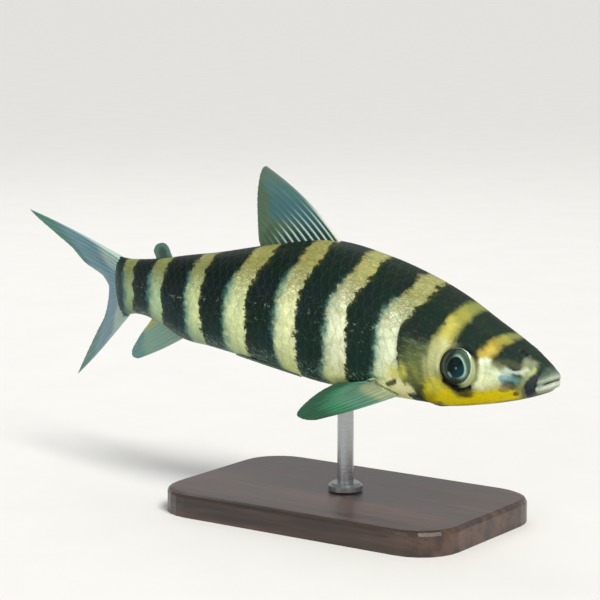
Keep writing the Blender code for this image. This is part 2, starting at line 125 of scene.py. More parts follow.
# Fine lines of the head: stops of (s, turn), width and height in mm
DEGREE_IN_MM = 0.165
FACE_LINES = (
    (((20.6, 30), (21.9, 12), (22.3, -6), (21.8, -26), (19.6, -44), (15.5, -55), (10.5, -60)), 0.22, -0.13),
    (((20.2, 28), (21.3, 10), (21.7, -6), (21.1, -24), (19.0, -41), (15.2, -51), (10.5, -55)), 0.3, 0.1),
    (((22.4, -14), (24.2, -24), (25.1, -34), (24.6, -44)), 0.2, -0.12),
    (((19.3, 8), (20.4, 4), (21.6, 2)), 0.16, -0.07),
    (((18.4, -24), (19.6, -27), (21.2, -30)), 0.16, -0.07),
    (((15.8, -31), (15.5, -40), (15.1, -49)), 0.16, -0.07),
    (((11.9, -22), (10.9, -34), (9.8, -47)), 0.16, -0.07),
    (((11.4, 2), (9.0, 1), (6.4, -3)), 0.18, -0.09),
    (((3.6, -16), (5.2, -28), (8.0, -46), (12.0, -62), (18.0, -72)), 0.2, -0.14),
    (((22.2, -50), (17.5, -62), (12.0, -70)), 0.18, -0.1),
    (((22.0, -61), (18.5, -69), (14.5, -76)), 0.16, -0.09),
    (((22.0, -70), (19.5, -76), (16.5, -81)), 0.16, -0.09),
    (((24.6, 44), (22.8, 47), (20.6, 44), (18.6, 36)), 0.2, -0.06),
)

# The skin's grid: points in a ring, the rings' number and end on the snout and to behind the gill,
# and the number from there to the tail
SKIN_COUNT = 240
SNOUT_RINGS = 95
SNOUT_END = 8.0
GILL_RINGS = 125
GILL_RINGS_END = 30.0
BODY_RINGS = 130

# The skin lies this deep under the scales, from a little behind the gill's edge
SKIN_DEPTH = 0.07 * MM
UNDER_SCALES = (0.3, 1.8)

# The coat of scales: its rows, columns and ends, a scale's length in columns and half width in rows,
# and its rounding, thickness, depth at the root, slope, crown and least gap to the tail's end
SCALE_ROWS = 32
SCALE_COLUMNS = 86
SCALE_START = 0.9
SCALE_END = 99.6
SCALE_LENGTH = 3.5
SCALE_HALF = 1.12
SCALE_ROUNDING = 0.36
SCALE_THICKNESS = 0.035 * MM
SCALE_SUNK = 0.058 * MM
SCALE_SLOPE = 0.052 * MM
SCALE_CROWN = 0.014 * MM
SCALE_CLEAR = 0.15

# The bake map: the size of a scale's patch, and the share and margin of the whole
PATCH_SIZE = 0.003
BAKE_SHARE = 0.98
BAKE_MARGIN = 0.01

# How much single scales vary: their place, tilt and height
SCALE_SHIFT = 0.05
SCALE_TILT = 0.005 * MM
SCALE_RISE = 0.004 * MM

# The eye's lens, how far the ball is set in, and the ball's grid
LENS_RADIUS = 2.2 * MM
LENS_HEIGHT = 0.1 * MM
EYE_INSET = 0.06 * MM
EYE_RINGS = 48
EYE_COUNT = 72

# Fins: half thicknesses in mm, the grid of a blade, and the dip of its edge between the rays
FIN_MIDDLE_HALF = 0.13
FIN_TIP_HALF = 0.05
FLESHY_HALF = 0.3
FLESHY_EDGE_HALF = 0.1
FIN_ROWS = 46
RAY_COLUMNS = 14
NOTCH_DEPTH = 0.007

# Where the rays part the first and second time: share of their length, its variation, pace and start
RAY_SPLITS = ((0.4, 0.08, 2.4, 0), (0.7, 0.05, 1.7, 1))
RAY_SPREAD = 0.25
RAY_WIDTH = 0.17
FIRST_RAY_WIDTH = 0.3

# Paired fins: the pectoral's pivot (y, z) and the left one's swing, the pelvic root's place and angles
PECTORAL_PIVOT = (5.2, -8.0)
PECTORAL_SPREAD = math.radians(55)
PELVIC_AT = 50.2
PELVIC_INNER = 0.12
PELVIC_OUTER = 0.4

SIDES = (("right", -1), ("left", 1))

# Camera, from the photo: its angles, distance, scale and the place of the spine's middle in the frame
FRAME_PIXELS = 600
VIEW_TURN = math.radians(34.858)
VIEW_DOWN = math.radians(8.844)
VIEW_DISTANCE = 416.533 * MM
PIXELS_PER_MM = 5.42
MIDDLE_PIXEL = (312.778, 315.698)
SENSOR = 36.0

# Light: how bright the sky is at the horizon and above with its linear tints, and the soft sun
SKY_HORIZON = 0.8
SKY_ABOVE = 0.4
SKY_LOW_TINT = (1.0, 0.98, 0.93, 1.0)
SKY_HIGH_TINT = (0.97, 0.98, 1.0, 1.0)
SUN_ALONG = (0.62, -0.35, -0.85)
SUN_POWER = 2.6
SUN_SPREAD = math.radians(24)
SUN_COLOUR = (1.0, 0.985, 0.95)

# Lamps: place from the fish's middle along the view, to the right and up; size, power and colour
LAMPS = (
    ("fill", (-0.5, -0.45, 0.16), 0.4, 0.5, (0.92, 0.97, 1.0)),
    ("rim", (0.4, -0.1, 0.5), 0.4, 0.6, (1.0, 1.0, 1.0)),
    ("front", (-0.45, 0.28, 0.42), 0.2, 0.9, (1.0, 0.98, 0.94)),
)


def through(places, values, at):
    """A smooth curve through the given stations."""
    places = np.asarray(places, float)
    values = np.asarray(values, float)
    at = np.asarray(at, float)
    width = np.diff(places)
    rise = np.diff(values) / width
    slope = np.empty_like(values)
    slope[1:-1] = (width[:-1] * rise[1:] + width[1:] * rise[:-1]) / (width[:-1] + width[1:])
    slope[0] = 2 * rise[0] - slope[1]
    slope[-1] = 2 * rise[-1] - slope[-2]
    cell = np.clip(np.searchsorted(places, at, side="right") - 1, 0, len(width) - 1)
    h = width[cell]
    t = (at - places[cell]) / h
    start = values[cell] * (1 + 2 * t) * (1 - t) ** 2 + slope[cell] * h * t * (1 - t) ** 2
    finish = values[cell + 1] * t * t * (3 - 2 * t) + slope[cell + 1] * h * t * t * (t - 1)
    return start + finish


def blend(x, low, high):
    """Rise smoothly from 0 at low to 1 at high."""
    t = np.clip((np.asarray(x, float) - low) / (high - low), 0, 1)
    return t * t * (3 - 2 * t)


def hump(x, middle, width, height=1.0):
    """A smooth hump, or with a negative height a hollow."""
    return height * np.exp(-((np.asarray(x, float) - middle) / width) ** 2)


def unit(v):
    """Vectors of length one."""
    return v / np.maximum(np.linalg.norm(v, axis=-1, keepdims=True), 1e-12)


def path(*stops):
    """A smooth line through stops of (share, then places), as a function of the share."""
    shares = [stop[0] for stop in stops]
    return lambda u: [through(shares, [stop[i] for stop in stops], u) for i in range(1, len(stops[0]))]


def spine_axes(s):
    """Forward, left and up directions of the body at a place along it."""
    t = (np.asarray(s, float) - BEND_MIDDLE) / 100
    yaw = YAW_BEND[0] + YAW_BEND[1] * t + YAW_BEND[2] * t * t
    pitch = PITCH_BEND[0] + PITCH_BEND[1] * t + PITCH_BEND[2] * t * t
    flat = np.zeros_like(yaw)
    forward = np.stack([np.cos(yaw) * np.cos(pitch), -np.sin(yaw) * np.cos(pitch), -np.sin(pitch)], -1)
    left = np.stack([np.sin(yaw), np.cos(yaw), flat], -1)
    return forward, left, np.cross(forward, left)


SPINE_PLACES = np.linspace(0, 130, 1301)
SPINE_STEPS = -spine_axes(SPINE_PLACES)[0] * (SPINE_PLACES[1] - SPINE_PLACES[0]) * PERCENT
SPINE_POINTS = np.cumsum(SPINE_STEPS, axis=0)
SPINE_POINTS -= SPINE_POINTS[np.searchsorted(SPINE_PLACES, ROD_AT)]
SPINE_POINTS += np.array([0, 0, SPINE_HEIGHT])


def spine(s):
    """Points of the spine."""
    return np.stack([np.interp(s, SPINE_PLACES, SPINE_POINTS[:, i]) for i in range(3)], -1)


def place(s, y, z):
    """World points from places along, across and up the body."""
    s = np.asarray(s, float)
    y = np.asarray(y, float)[..., None] * PERCENT
    z = np.asarray(z, float)[..., None] * PERCENT
    left, up = spine_axes(s)[1:]
    return spine(s) + left * y + up * z


def profile(column, s):
    """One column of the section table, eased so that the snout is round."""
    places = np.sqrt([row[0] for row in SECTIONS])
    return through(places, [row[column] for row in SECTIONS], np.sqrt(np.maximum(s, 0)))


def top_of(s):
    return profile(1, s)


def bottom_of(s):
    return profile(2, s)


def widest_of(s):
    """Level of the widest line, which starts at the mouth."""
    low = bottom_of(s)
    level = low + (top_of(s) - low) * WIDEST_LEVEL
    slit = MOUTH_LEVEL - MOUTH_DROP * np.minimum(np.asarray(s, float) / 1.3, 1.6)
    return slit + (level - slit) * blend(s, 1.3, 6.0)


def section(s, a):
    """Across and up places of the skin at an angle about the spine, 0 at the left side."""
    c = np.cos(a)
    n = np.sin(a)
    level = widest_of(s)
    reach = np.where(n > 0, top_of(s) - level, level - bottom_of(s))
    y = profile(3, s) * np.sign(c) * np.abs(c) ** SECTION_POWER
    z = level + reach * np.sign(n) * np.abs(n) ** SECTION_POWER
    return y, z


def gill_place(a):
    """How far back the gill opening lies at an angle about the spine."""
    n = np.sin(a)
    up = np.maximum(n, 0) ** 2
    down = np.maximum(-n, 0) ** 2
    return GILL_EDGE - NAPE_FORWARD * up - THROAT_FORWARD * down


def tail_end(z):
    """How far back the end of the tail lies at a level, furthest at the middle."""
    return TAIL_END - TAIL_CORNER_FORWARD * ((z - TAIL_MIDDLE) / TAIL_HALF) ** 2


def turn_of(a):
    """Degrees above or below the widest line."""
    return np.degrees(np.arcsin(np.clip(np.sin(a), -1, 1)))


def over_slit(y, z):
    """How far a place lies above the line of the mouth."""
    return z - MOUTH_LEVEL + MOUTH_DROP * (y / MOUTH_HALF) ** 2


def line_height(s, turn, stops, width, height):
    """A ridge (or with a negative height a groove) along a line of (s, turn) stops on the skin."""
    count = 70
    narrowing = np.minimum(s / 20, 1)
    places = [(i / (len(stops) - 1), *stop) for i, stop in enumerate(stops)]
    line_s, line_turn = path(*places)(np.linspace(0, 1, count))
    found = np.full(np.shape(s), 1e9)
    for at_s, at_turn in zip(line_s, line_turn):
        along = (s - at_s) * PERCENT_IN_MM
        around = (turn - at_turn) * DEGREE_IN_MM * narrowing
        found = np.minimum(found, along ** 2 + around ** 2)
    return height * np.exp(-found / width ** 2)


def mouth_relief(s, y, z):
    """Height in mm of the slit, the lips, the folds beside them and the corners of the mouth."""
    off = over_slit(y, z) * PERCENT_IN_MM
    slit_share = 1 - blend(np.abs(y), *SLIT_ENDS)
    lip_share = 1 - blend(np.abs(y), *LIP_ENDS)
    near_front = (1 - blend(s, *MOUTH_FADES)) * (MOUTH_AT_TIP + (1 - MOUTH_AT_TIP) * blend(s, 0.0, 1.0))
    lips = hump(np.abs(off), *LIPS) + hump(off, *CHIN_FOLD) + hump(off, *UPPER_FOLD)
    height = (hump(np.abs(off), *SLIT) * slit_share + lips * lip_share) * near_front
    corner = np.hypot(s - MOUTH_CORNER[0], (z - MOUTH_CORNER[1]) * 0.8) * PERCENT_IN_MM
    return height + hump(corner, *CORNER_PIT) * (np.abs(y) > 0.5)


def nostril_relief(s, y, z):
    """Height in mm of the pits of the nostrils and their low rims."""
    height = 0.0
    for back, side, up, radius, depth in NOSTRIL_PITS:
        aside = np.abs(y) - NOSTRIL[1] - side
        away = np.sqrt((s - NOSTRIL[0] - back) ** 2 + aside ** 2 + (z - NOSTRIL[2] - up) ** 2)
        away = away * PERCENT_IN_MM / radius
        height = height + hump(away, 0.0, 1.0, -depth) + hump(away, *NOSTRIL_RIM)
    return height


def gill_relief(s, a):
    """Height in mm of the gill cover's raised rear edge and the step behind it."""
    behind = s - gill_place(a)
    flare = np.where(behind <= 0, np.exp(behind / GILL_RISE), -GILL_STEP * np.exp(-behind))
    return GILL_FLARE * flare * (1 - blend(np.sin(a), *GILL_FADES))


def relief(s, a, y, z):
    """Height of the mouth, nostrils, eye rims, face lines and gill cover over the skin."""
    height = mouth_relief(s, y, z) + nostril_relief(s, y, z) + gill_relief(s, a)
    from_eye = np.hypot(s - EYE_AT[0], z - EYE_AT[2]) * PERCENT_IN_MM
    for rim in EYE_RIMS:
        height = height + hump(from_eye, *rim)
    turn = turn_of(a)
    for line in FACE_LINES:
        height = height + line_height(s, turn, *line)
    return height * MM


def skin(s, a, lift=0.0, with_relief=True):
    """World points of the skin, raised by a lift."""
    step_s = 0.01
    step_a = 0.001
    s = np.asarray(s, float)
    a = np.asarray(a, float)
    y, z = section(s, a)
    base = place(s, y, z)
    along = place(s + step_s, *section(s + step_s, a)) - base
    around = place(s, *section(s, a + step_a)) - base
    out = -unit(np.cross(around, along))
    tall = relief(s, a, y, z) if with_relief else 0.0
    return base + out * np.asarray(tall + lift)[..., None]


def tube_faces(rows, count, flip=False):
    """Faces over rings of points that close onto the two points after them; flip turns them over."""
    i, j = np.meshgrid(np.arange(rows - 1), np.arange(count), indexing="ij")
    k = (j + 1) % count
    quads = np.stack([i * count + j, i * count + k, (i + 1) * count + k, (i + 1) * count + j], -1)
    first = rows * count
    low = first - count
    ring = range(count)
    faces = quads.reshape(-1, 4).tolist()
    faces += [(first, (p + 1) % count, p) for p in ring]
    faces += [(first + 1, low + p, low + (p + 1) % count) for p in ring]
    return [(face[0], *face[:0:-1]) for face in faces] if flip else faces


def sheet_faces(rows, columns):
    """Quads over a grid of points, and the points round its rim in order."""
    i, j = np.meshgrid(np.arange(rows - 1), np.arange(columns - 1), indexing="ij")
    first = (i * columns + j).reshape(-1)
    quads = np.stack([first, first + columns, first + columns + 1, first + 1], -1)
    low = (rows - 1) * columns
    rim = list(range(columns)) + [i * columns + columns - 1 for i in range(1, rows)]
    rim += [low + j for j in range(columns - 2, -1, -1)] + [i * columns for i in range(rows - 2, 0, -1)]
    return quads, rim


def mesh_piece(name, points, faces, attributes, finish, uv=None):
    """A smooth mesh that rides on the model, with point attributes and an optional bake map."""
    mesh = bpy.data.meshes.new(name)
    mesh.from_pydata(np.asarray(points).tolist(), [], [tuple(face) for face in faces])
    for key, values in attributes.items():
        layer = mesh.attributes.new(key, "FLOAT_VECTOR", "POINT")
        layer.data.foreach_set("vector", np.asarray(values, np.float32).ravel())
    if uv is not None:
        layer = mesh.uv_layers.new(name="OFBake")
        layer.data.foreach_set("uv", np.asarray(uv, np.float32).ravel())
    mesh.materials.append(finish)
    mesh.shade_smooth()
    piece = bpy.data.objects.new(name, mesh)
    bpy.context.scene.collection.objects.link(piece)
    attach(piece, "root")
    return piece


def paint(red, green, blue):
    """A linear colour from its 0 to 255 screen values."""
    values = [c / 255 for c in (red, green, blue)]
    return (*[((c + 0.055) / 1.055) ** 2.4 if c > 0.04045 else c / 12.92 for c in values], 1.0)


class Value:
    """One output of a node. Arithmetic on it adds nodes to the same graph."""

    def __init__(self, graph, socket):
        self.graph = graph
        self.socket = socket

    def __add__(self, other):
        return self.graph.math("ADD", self, other)

    def __sub__(self, other):
        return self.graph.math("SUBTRACT", self, other)

    def __rsub__(self, other):
        return self.graph.math("SUBTRACT", other, self)

    def __mul__(self, other):
        return self.graph.math("MULTIPLY", self, other)

    def __truediv__(self, other):
        return self.graph.math("DIVIDE", self, other)

    def __abs__(self):
        return self.graph.math("ABSOLUTE", self)

    __radd__ = __add__
    __rmul__ = __mul__

    def rise(self, low, high, start=0.0, end=1.0, kind="SMOOTHSTEP"):
        """A step from start to end as this value goes from low to high, smooth unless told."""
        inputs = dict(enumerate((self, low, high, start, end)))
        return self.graph.node("MapRange", inputs, interpolation_type=kind)


class Graph:
    """The nodes of a material or world. Inputs are numbers, vectors, screen colours or Values."""

    def __init__(self, owner, shader="Principled BSDF"):
        owner.use_nodes = True
        self.owner = owner
        self.nodes = owner.node_tree.nodes
        self.links = owner.node_tree.links
        self.shader = self.nodes[shader]

    def fill(self, socket, value):
        """Link a Value to a socket, or set its number, vector or colour."""
        if isinstance(value, Value):
            self.links.new(value.socket, socket)
        elif socket.type == "RGBA" and len(value) == 3:
            socket.default_value = paint(*value)
        else:
            socket.default_value = value

    def set(self, **values):
        """Set the shader's inputs by their names, with underscores for spaces."""
        for key, value in values.items():
            self.fill(self.shader.inputs[key.replace("_", " ")], value)

    def node(self, kind, inputs, part=0, **settings):
        """An output of a new node, whose inputs are given by number or name."""
        node = self.nodes.new("ShaderNode" + kind)
        for key, value in settings.items():
            setattr(node, key, value)
        for key, value in inputs.items():
            self.fill(node.inputs[key], value)
        return Value(self, node.outputs[part])

    def attribute(self, name):
        return self.split(self.node("Attribute", {}, "Vector", attribute_name=name))

    def coordinate(self, part="Object"):
        return self.node("TexCoord", {}, part)

    def split(self, vector):
        """The three numbers of a vector."""
        first = self.node("SeparateXYZ", {0: vector})
        return [Value(self, socket) for socket in first.socket.node.outputs]

    def join(self, *numbers):
        return self.node("CombineXYZ", dict(enumerate(numbers)))

    def math(self, operation, *values):
        return self.node("Math", dict(enumerate(values)), operation=operation)

    def vector(self, operation, *values):
        part = "Value" if operation == "LENGTH" else "Vector"
        return self.node("VectorMath", dict(enumerate(values)), part, operation=operation)

    def noise(self, vector, scale, detail=2.0, roughness=0.5, part="Fac"):
        inputs = {"Vector": vector, "Scale": scale, "Detail": detail, "Roughness": roughness}
        return self.node("TexNoise", inputs, part)

    def bump(self, height, strength, distance):
        return self.node("Bump", {"Strength": strength, "Distance": distance, "Height": height})

    def mix(self, share, a, b, kind="MIX"):
        return self.node("Mix", {0: share, 6: a, 7: b}, 2, data_type="RGBA", blend_type=kind)

    def lay(self, colour, *layers):
        """A colour with others laid over it in turn, each by its share."""
        for share, over in layers:
            colour = self.mix(share, colour, over)
        return colour

    def shade(self, colour, by, share=1.0):
        """A colour made lighter or darker by a number, with a share of the effect."""
        return self.mix(share, colour, self.join(by, by, by), "MULTIPLY")

    def stops(self, x, low, high, stops):
        """A run of colours by the place of x between low and high."""
        run = self.node("ValToRGB", {0: (x - low) / (high - low)})
        ramp = run.socket.node.color_ramp
        while len(ramp.elements) < len(stops):
            ramp.elements.new(0.5)
        for element, (at, colour) in zip(ramp.elements, stops):
            element.position = (at - low) / (high - low)
            element.color = paint(*colour)
        return run

    def mark(self, at, ragged, start, end, radius, soft):
        """A soft, ragged stroke with round ends, 1 inside and 0 outside."""
        run = (end[0] - start[0], end[1] - start[1])
        reach = math.hypot(*run) / 2 / radius
        inputs = {
            "Vector": at,
            "Location": (start[0] + run[0] / 2, start[1] + run[1] / 2, 0),
            "Rotation": (0, 0, math.atan2(run[1], run[0])),
            "Scale": (radius, radius, 1),
        }
        local = self.node("Mapping", inputs, vector_type="TEXTURE")
        if reach:
            beyond = self.vector("SUBTRACT", self.vector("ABSOLUTE", local), (reach, 0, 0))
            local = self.vector("MAXIMUM", beyond, (0, 0, 0))
        away = self.vector("LENGTH", local) + ragged
        return away.rise(1 + soft, 1 - soft)


# Pale bands: front edge, rear edge, how far the back leans forward, shift of the edges on the belly
BANDS = (
    (27.9, 31.6, 4.3, -1.2, 1.6),
    (38.2, 41.8, 3.4, 0.3, 1.5),
    (48.5, 52.6, 3.1, 0.6, 0.3),
    (59.6, 64.2, 3.2, 0.8, 1.0),
    (70.9, 74.4, 0.8, 0.3, 0.7),
    (82.0, 86.0, 0.5, 1.2, 1.2),
    (91.9, 95.5, -0.1, 1.6, 1.2),
)

# Colours by the place along the body: the pale flank, back and belly, the cool edges and the dark skin
ALONG_TRUNK = (20, 100)
ALONG_BODY = (0, 100)
FLANK = (
    (27, (240, 249, 212)), (40, (247, 253, 214)), (50, (250, 255, 194)), (62, (234, 244, 182)),
    (73, (222, 238, 174)), (84, (186, 218, 168)), (94, (152, 180, 124)),
)
BACK = (
    (27, (176, 176, 114)), (40, (176, 176, 108)), (50, (156, 152, 76)), (62, (160, 156, 84)),
    (73, (132, 142, 84)), (94, (126, 146, 86)),
)
BELLY = (
    (27, (240, 242, 168)), (50, (218, 230, 154)), (73, (146, 174, 138)), (94, (104, 128, 98)),
)
COOL = (
    (30, (110, 158, 142)), (60, (98, 152, 136)), (90, (70, 122, 118)),
)
DARK = (
    (2, (34, 52, 42)), (22, (24, 42, 34)), (34, (16, 38, 29)), (60, (8, 26, 20)), (80, (4, 20, 20)),
    (95, (2, 26, 25)), (98.2, (12, 46, 42)), (99.6, (58, 98, 96)),
)

# Colours by the level over the line of the mouth
ACROSS_LIPS = (-2.4, 2.4)
LIP_TINTS = (
    (-2.3, (84, 92, 62)), (-1.9, (146, 156, 132)), (-1.1, (166, 176, 154)), (-0.6, (204, 212, 192)),
    (-0.2, (166, 174, 156)), (0.25, (136, 146, 130)), (0.6, (166, 176, 156)), (0.95, (118, 130, 112)),
    (1.3, (84, 100, 86)), (2.3, (36, 52, 43)),
)

# Where a scale's rear rim starts, where the head gives way to the trunk, and how far the noise of
# one side lies from that of the other
SCALE_RIM = (0.84, 0.97)
BEHIND_HEAD = (26, 34)
SIDES_APART = 40

# Marks of the head over the bands, some of them painted highlights, in order: s and turn of both ends,
# radius, colour, strength, softness
TURN_SHARE = 0.1
FACE_MARKS = (
    (8.5, 90, 9.3, 62, 0.8, (124, 130, 74), 1.0, 0.8),
    (9.3, 62, 10.4, 40, 0.8, (152, 146, 68), 1.0, 0.8),
    (10.5, 40, 11.7, 20, 0.9, (164, 148, 60), 1.0, 0.8),
    (10.7, 30, 11.7, 19, 0.75, (214, 190, 88), 0.8, 1.0),
    (16.8, 90, 17.1, 58, 1.15, (128, 134, 70), 1.0, 0.75),
    (17.1, 58, 18.3, 32, 1.15, (150, 148, 68), 1.0, 0.75),
    (18.3, 32, 19.9, 8, 1.15, (166, 166, 88), 1.0, 0.75),
    (18.4, 38, 19.1, 18, 0.8, (200, 190, 88), 0.85, 0.9),
    (20.2, -8, 24.4, -20, 1.7, (112, 124, 72), 0.9, 0.65),
    (20.0, -2, 21.2, -16, 1.15, (168, 172, 120), 0.85, 0.9),
    (22.6, 2, 25.0, -4, 0.8, (92, 106, 72), 0.5, 1.0),
    (25.6, 0, 27.0, -12, 0.8, (88, 98, 62), 0.6, 1.0),
    (23.2, -14, 25.2, -22, 1.1, (96, 110, 58), 0.8, 0.9),
    (24.6, -24, 25.8, -33, 0.9, (160, 158, 78), 0.75, 1.0),
    (25.2, -28, 24.2, -42, 0.9, (74, 84, 52), 0.75, 0.7),
    (8.9, -8, 12.6, -12, 1.85, (206, 212, 160), 1.0, 0.5),
    (7.8, 1, 9.6, -6, 0.85, (220, 232, 200), 0.85, 0.8),
    (9.4, -31, 12.8, -33, 0.5, (222, 212, 120), 0.75, 1.0),
    # A painted highlight on the pale cheek before the eye
    (11.0, -12, 12.2, -21, 0.85, (230, 236, 188), 0.95, 0.9),
    (12.7, -12, 13.6, -22, 0.26, (120, 126, 76), 0.5, 1.0),
    (12.3, 5, 12.9, -2, 0.2, (132, 138, 96), 0.4, 1.0),
    # A painted highlight before the eye, and its fainter tail
    (11.0, 9, 11.5, 8, 0.7, (240, 248, 222), 0.95, 0.7),
    (10.2, 4, 11.4, 1, 0.7, (202, 212, 172), 0.75, 0.8),
    (8.2, 9, 9.8, 9, 0.4, (116, 120, 82), 0.6, 0.9),
    (17.6, -4, 17.4, -10, 2.3, (150, 154, 108), 0.8, 0.4),
    (5.4, 21, 9.6, 13, 0.6, (94, 94, 66), 0.55, 1.0),
    # A painted highlight in a strip along the snout
    (4.9, 8, 8.4, 3, 0.36, (188, 202, 186), 0.9, 0.6),
    (5.4, -8, 5.9, -12, 0.75, (104, 132, 96), 0.85, 0.6),
    (6.4, -7, 8.2, -9, 0.72, (96, 140, 142), 0.9, 0.6),
    (8.0, -7, 8.4, -8, 0.4, (146, 182, 188), 0.7, 0.7),
    (6.7, -15, 7.7, -18, 0.42, (54, 72, 64), 0.85, 0.8),
    (6.9, -23, 8.2, -25, 0.6, (112, 100, 84), 0.7, 0.7),
    (3.0, 60, 3.4, 44, 0.35, (96, 108, 92), 0.4, 1.0),
    (3.6, 46, 4.3, 10, 0.85, (138, 146, 112), 0.85, 1.0),
    (3.1, 38, 3.8, 12, 0.36, (186, 198, 134), 0.75, 1.0),
    (4.6, 60, 4.8, 40, 0.3, (96, 108, 96), 0.45, 1.0),
    (4.5, 42, 4.8, 28, 0.45, (150, 156, 124), 0.7, 1.0),
    (4.4, 24, 4.9, 10, 0.45, (204, 212, 176), 0.8, 0.9),
    (4.3, 6, 4.9, -20, 0.4, (158, 172, 128), 0.65, 0.7),
    (5.4, -26, 5.9, -56, 0.7, (150, 150, 84), 0.85, 0.8),
    (5.8, -66, 6.4, -89, 0.9, (124, 118, 52), 0.9, 0.8),
    (8.0, -50, 13.0, -56, 2.0, (224, 202, 12), 1.0, 0.4),
    (13.0, -66, 18.6, -64, 2.0, (220, 198, 12), 1.0, 0.4),
    (22.2, -58, 22.8, -78, 0.9, (150, 132, 20), 0.85, 0.8),
    (23.8, -50, 24.2, -70, 0.6, (66, 52, 14), 0.8, 0.8),
    (18.8, -48, 21.0, -42, 1.95, (222, 204, 28), 1.0, 0.5),
    (21.4, -44, 22.8, -60, 0.7, (150, 136, 26), 0.7, 1.0),
    (20.0, -28, 21.4, -33, 0.95, (206, 200, 76), 0.8, 0.8),
    (18.9, 12, 20.4, -2, 0.85, (214, 216, 156), 0.85, 0.9),
    (20.6, 4, 21.8, -10, 0.9, (188, 192, 132), 0.8, 1.0),
    (7.0, -40, 9.5, -52, 0.9, (214, 196, 20), 0.8, 0.8),
    (8.0, -78, 20.0, -82, 1.0, (140, 126, 20), 0.6, 0.8),
    (4.9, -30, 5.5, -74, 0.36, (96, 104, 78), 0.7, 0.8),
    (6.3, -42, 6.5, -48, 0.45, (96, 78, 14), 0.9, 0.6),
    (7.8, -31, 8.7, -32, 0.4, (150, 130, 60), 0.7, 0.6),
    (14.4, -39, 16.4, -41, 0.62, (104, 94, 28), 0.75, 0.8),
    (15.0, -43, 15.6, -44, 0.5, (70, 64, 14), 0.7, 0.9),
    (14.2, -27, 16.2, -31, 0.42, (14, 16, 10), 1.0, 0.6),
    (16.2, -32, 18.7, -22, 0.5, (14, 16, 10), 1.0, 0.6),
    (2.9, 16, 3.95, -28, 0.56, (50, 54, 60), 1.0, 0.45),
    (3.95, -28, 4.6, -84, 0.62, (44, 46, 54), 1.0, 0.45),
    (2.9, -50, 3.2, -84, 0.42, (78, 84, 44), 0.75, 0.6),
    (26.8, -24, 29.2, -30, 0.7, (224, 220, 104), 0.8, 1.0),
    (25.8, -44, 28.6, -50, 0.8, (240, 236, 176), 0.9, 0.6),
    (28.4, -38, 30.0, -45, 0.3, (50, 52, 20), 0.9, 0.6),
)


def skin_places(graph):
    """Where a point of the skin lies, and the noises that several tints share."""
    s, turn, across = graph.attribute("body")
    edge, ribs, tone = graph.attribute("cell")
    side = graph.math("SIGN", across) * SIDES_APART
    grain = graph.join(s, turn * 0.18, side)
    spots = graph.vector("MULTIPLY", graph.coordinate(), (1 / PERCENT,) * 3)
    streaks = 1.0
    for lean, low, high in ((1, 0.35, 0.62), (-1, 0.33, 0.6)):
        slanted = graph.join(s * 0.35 + turn * (0.13 * lean), s * 2.2 - turn * (0.6 * lean), side)
        streaks = graph.noise(slanted, 1.0).rise(low, high) * streaks
    return SimpleNamespace(
        s=s, turn=turn, side=side, edge=edge, ribs=ribs, tone=tone, grain=grain, spots=spots,
        streaks=streaks,
        broad=graph.noise(grain, 0.22),
        fine=graph.noise(grain, 1.1, 3, 0.6),
        rough=graph.noise(spots, 0.85, 5, 0.66),
        trail=graph.noise(graph.join(s * 0.55, turn * 0.2, side), 1.0, 4, 0.7))


def band_masks(at):
    """How pale the skin is at a place, and where the brown front and cool rear edges of the bands lie."""
    over = at.turn.rise(6, 62)
    under = at.turn.rise(-5, -62)
    wander = at.broad * 1.2 - 0.6
    ahead = at.s + wander + (at.rough * 3.4 - 1.7)
    behind = at.s + wander + (at.trail * 1.8 - 0.9) + (at.rough * 2.0 - 1.0)
    pale = 0.0
    warm = 0.0
    cool = 0.0
    for front, rear, lean, belly_front, belly_rear in BANDS:
        past = ahead - (front - over * lean + under * belly_front)
        beyond = behind - (rear - over * lean + under * belly_rear)
        pale = pale + past.rise(-0.2, 0.4) * beyond.rise(0.8, -0.5)
        warm = warm + past.rise(-1.0, 0.0) * past.rise(0.5, 0.0)
        cool = cool + beyond.rise(-1.7, 0.1) * beyond.rise(1.5, 0.2)
    return pale, warm, cool


def pale_skin(graph, at):
    """The pale bands: cream flanks that turn olive over the back and greenish on the belly."""
    flank, back, belly = (graph.stops(at.s, *ALONG_TRUNK, tints) for tints in (FLANK, BACK, BELLY))
    tan = graph.noise(at.spots, 0.9, 4, 0.65).rise(0.5, 0.64) * at.turn.rise(4, 30)
    patches = graph.noise(at.grain, 0.7, 4, 0.65).rise(0.42, 0.66)
    return graph.lay(
        graph.mix((at.fine * 20 + at.turn).rise(24, 60), flank, back),
        (at.turn.rise(-8, -62), belly),
        # Olive between crossed streaks, tan spots and olive patches, mostly over the back
        (at.turn.rise(-5, 30) * (0.7 - at.streaks * 0.7), (104, 100, 48)),
        (tan * at.s.rise(20, 40, 0.2, 0.5), (168, 138, 84)),
        (patches * at.turn.rise(-20, 20, 0.16, 0.4), (136, 138, 78)),
        # A green cast, and the edges of the scales
        (at.trail.rise(0.6, 0.44) * 0.16, (150, 168, 128)),
        (at.edge.rise(*SCALE_RIM) * 0.22, (126, 130, 84)))


